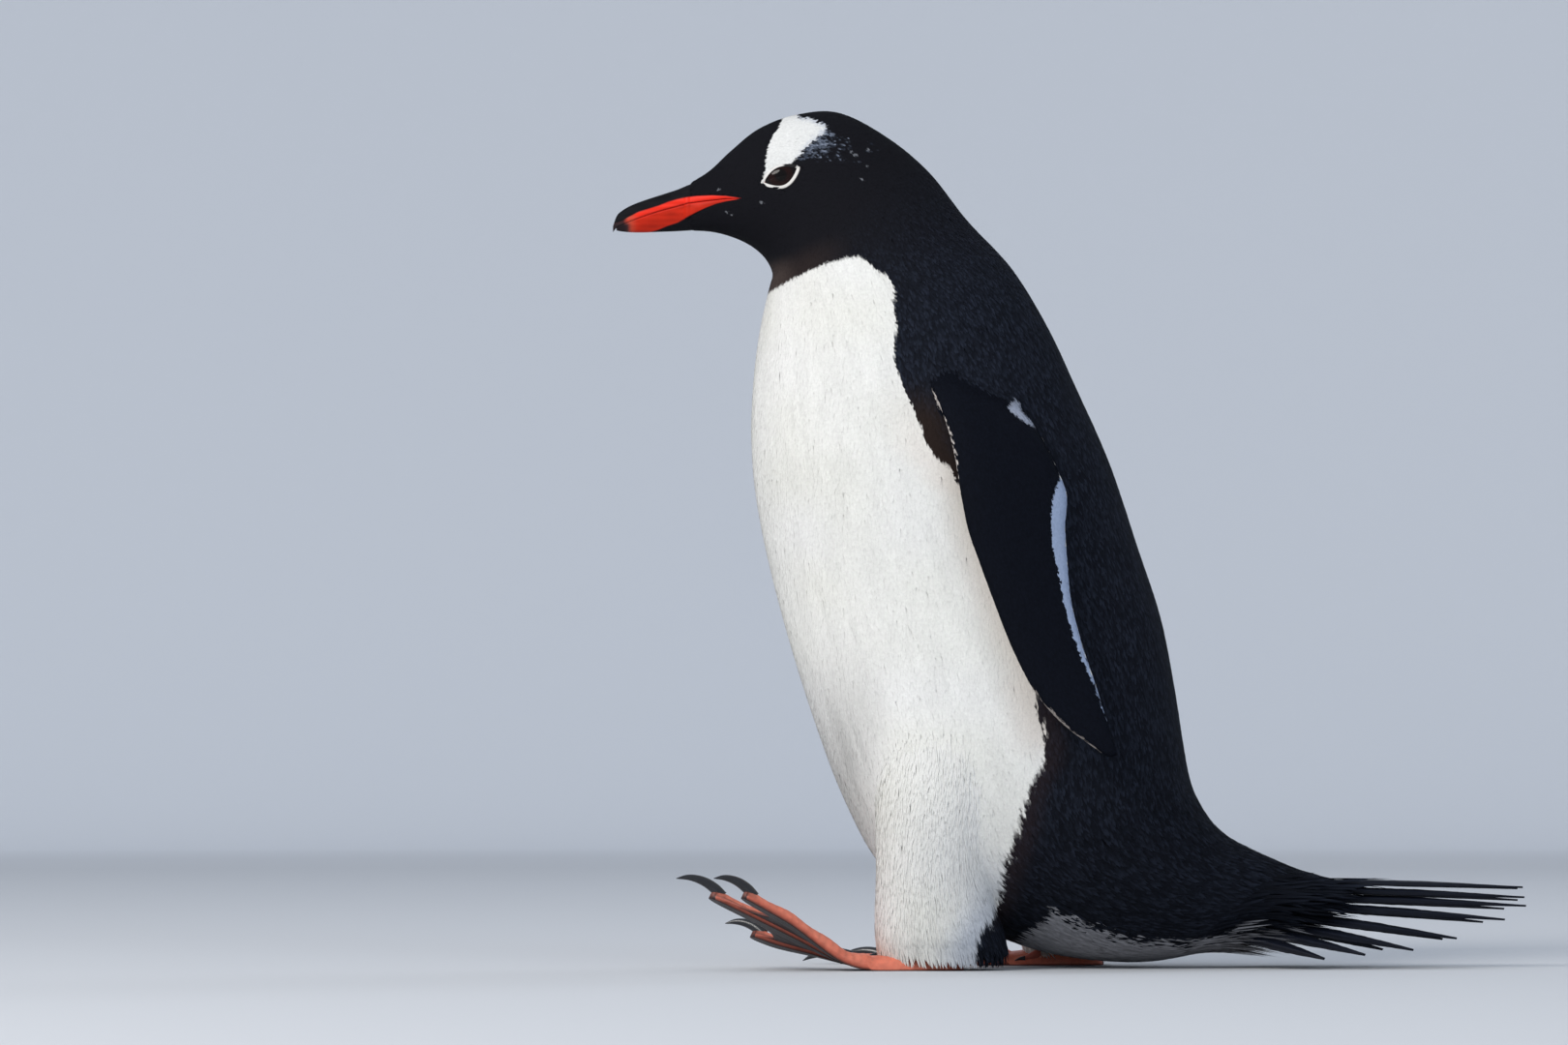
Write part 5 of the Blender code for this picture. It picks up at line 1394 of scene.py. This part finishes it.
# ================================================================ stage, light, camera
scene = bpy.context.scene
scene.view_settings.view_transform = "Standard"
scene.view_settings.look = "None"
floor_mat = make_material("studio_floor", rough=0.9, spec=0.1, tint=True)
profile = [(0.0, 0.0), (0.8, 0.0), (2.0, 0.0), (3.2, 0.0), (3.8, 0.0), (4.2, 0.0), (4.6, 0.0)] + [(4.6 + 1.4 * math.sin(t), 1.4 - 1.4 * math.cos(t)) for t in np.linspace(0, math.pi / 2, 24)[1:]] + [(6.0, 4.6)]
sweep, paper_with_painted_light = [], []
for turn in np.linspace(0, 2 * math.pi, 121)[:-1]:
    rise = smooth01(1.00, 1.35, turn) * smooth01(3.95, 3.60, turn)
    # painted light: the curved wall is painted up to 36 % brighter than the floor
    paper_with_painted_light += [np.array((0.62, 0.63, 0.65)) * (1 + 0.36 * float(rise) * float(smooth01(3.2, 5.2, d))) for d, h in profile]
    sweep.append([((0.02 + d) * math.cos(turn) * 1000, (0.02 + d) * math.sin(turn) * 1000, h * float(rise) * 1000) for d, h in profile])
sheet = np.array(sweep, float)
rows, cols = sheet.shape[:2]
floor_faces = [(i * cols + j, i * cols + j + 1, (i + 1) % rows * cols + j + 1, (i + 1) % rows * cols + j) for i in range(rows) for j in range(cols - 1)]
floor_faces.append(tuple(i * cols for i in range(rows)))
floor = mesh_of("studio_floor", sheet.reshape(-1, 3), floor_faces, np.array(paper_with_painted_light), floor_mat, tidy=False)
scene.collection.objects.link(floor)

world = bpy.data.worlds.new("studio") if scene.world is None else scene.world
scene.world = world
world.use_nodes = True
background = next(node for node in world.node_tree.nodes if node.type == "BACKGROUND")
background.inputs["Color"].default_value = (0.80, 0.88, 1.0, 1.0)
background.inputs["Strength"].default_value = 0.60


def lamp(name, place, aim, size, power_w, colour, mirrored=True):
    data = bpy.data.lights.new(name, "AREA")
    data.shape, data.size, data.energy, data.color = "DISK", size, power_w, colour
    obj = bpy.data.objects.new(name, data)
    obj.location = place
    obj.rotation_euler = (Vector(aim) - Vector(place)).to_track_quat("-Z", "Y").to_euler()
    obj.visible_glossy = mirrored
    scene.collection.objects.link(obj)


lamp("key", (2.3, -2.3, 2.3), (0, -0.05, 0.25), 1.6, 88.0, (1.0, 0.97, 0.93))
lamp("fill", (2.6, 2.0, 1.4), (0, 0, 0.2), 2.0, 14.0, (0.74, 0.86, 1.0), False)
lamp("rim", (-1.6, 1.8, 2.2), (0, 0.05, 0.25), 1.2, 12.0, (0.88, 0.93, 1.0), False)

camera_data = bpy.data.cameras.new("camera")
camera_data.lens, camera_data.sensor_width = 149.8, 36.0
camera = bpy.data.objects.new("camera", camera_data)
camera.location = (3.64, -0.157, 0.119)
camera.rotation_euler = (Vector((0.0, -0.157, 0.248)) - Vector(camera.location)).to_track_quat("-Z", "Y").to_euler()
scene.collection.objects.link(camera)
scene.camera = camera
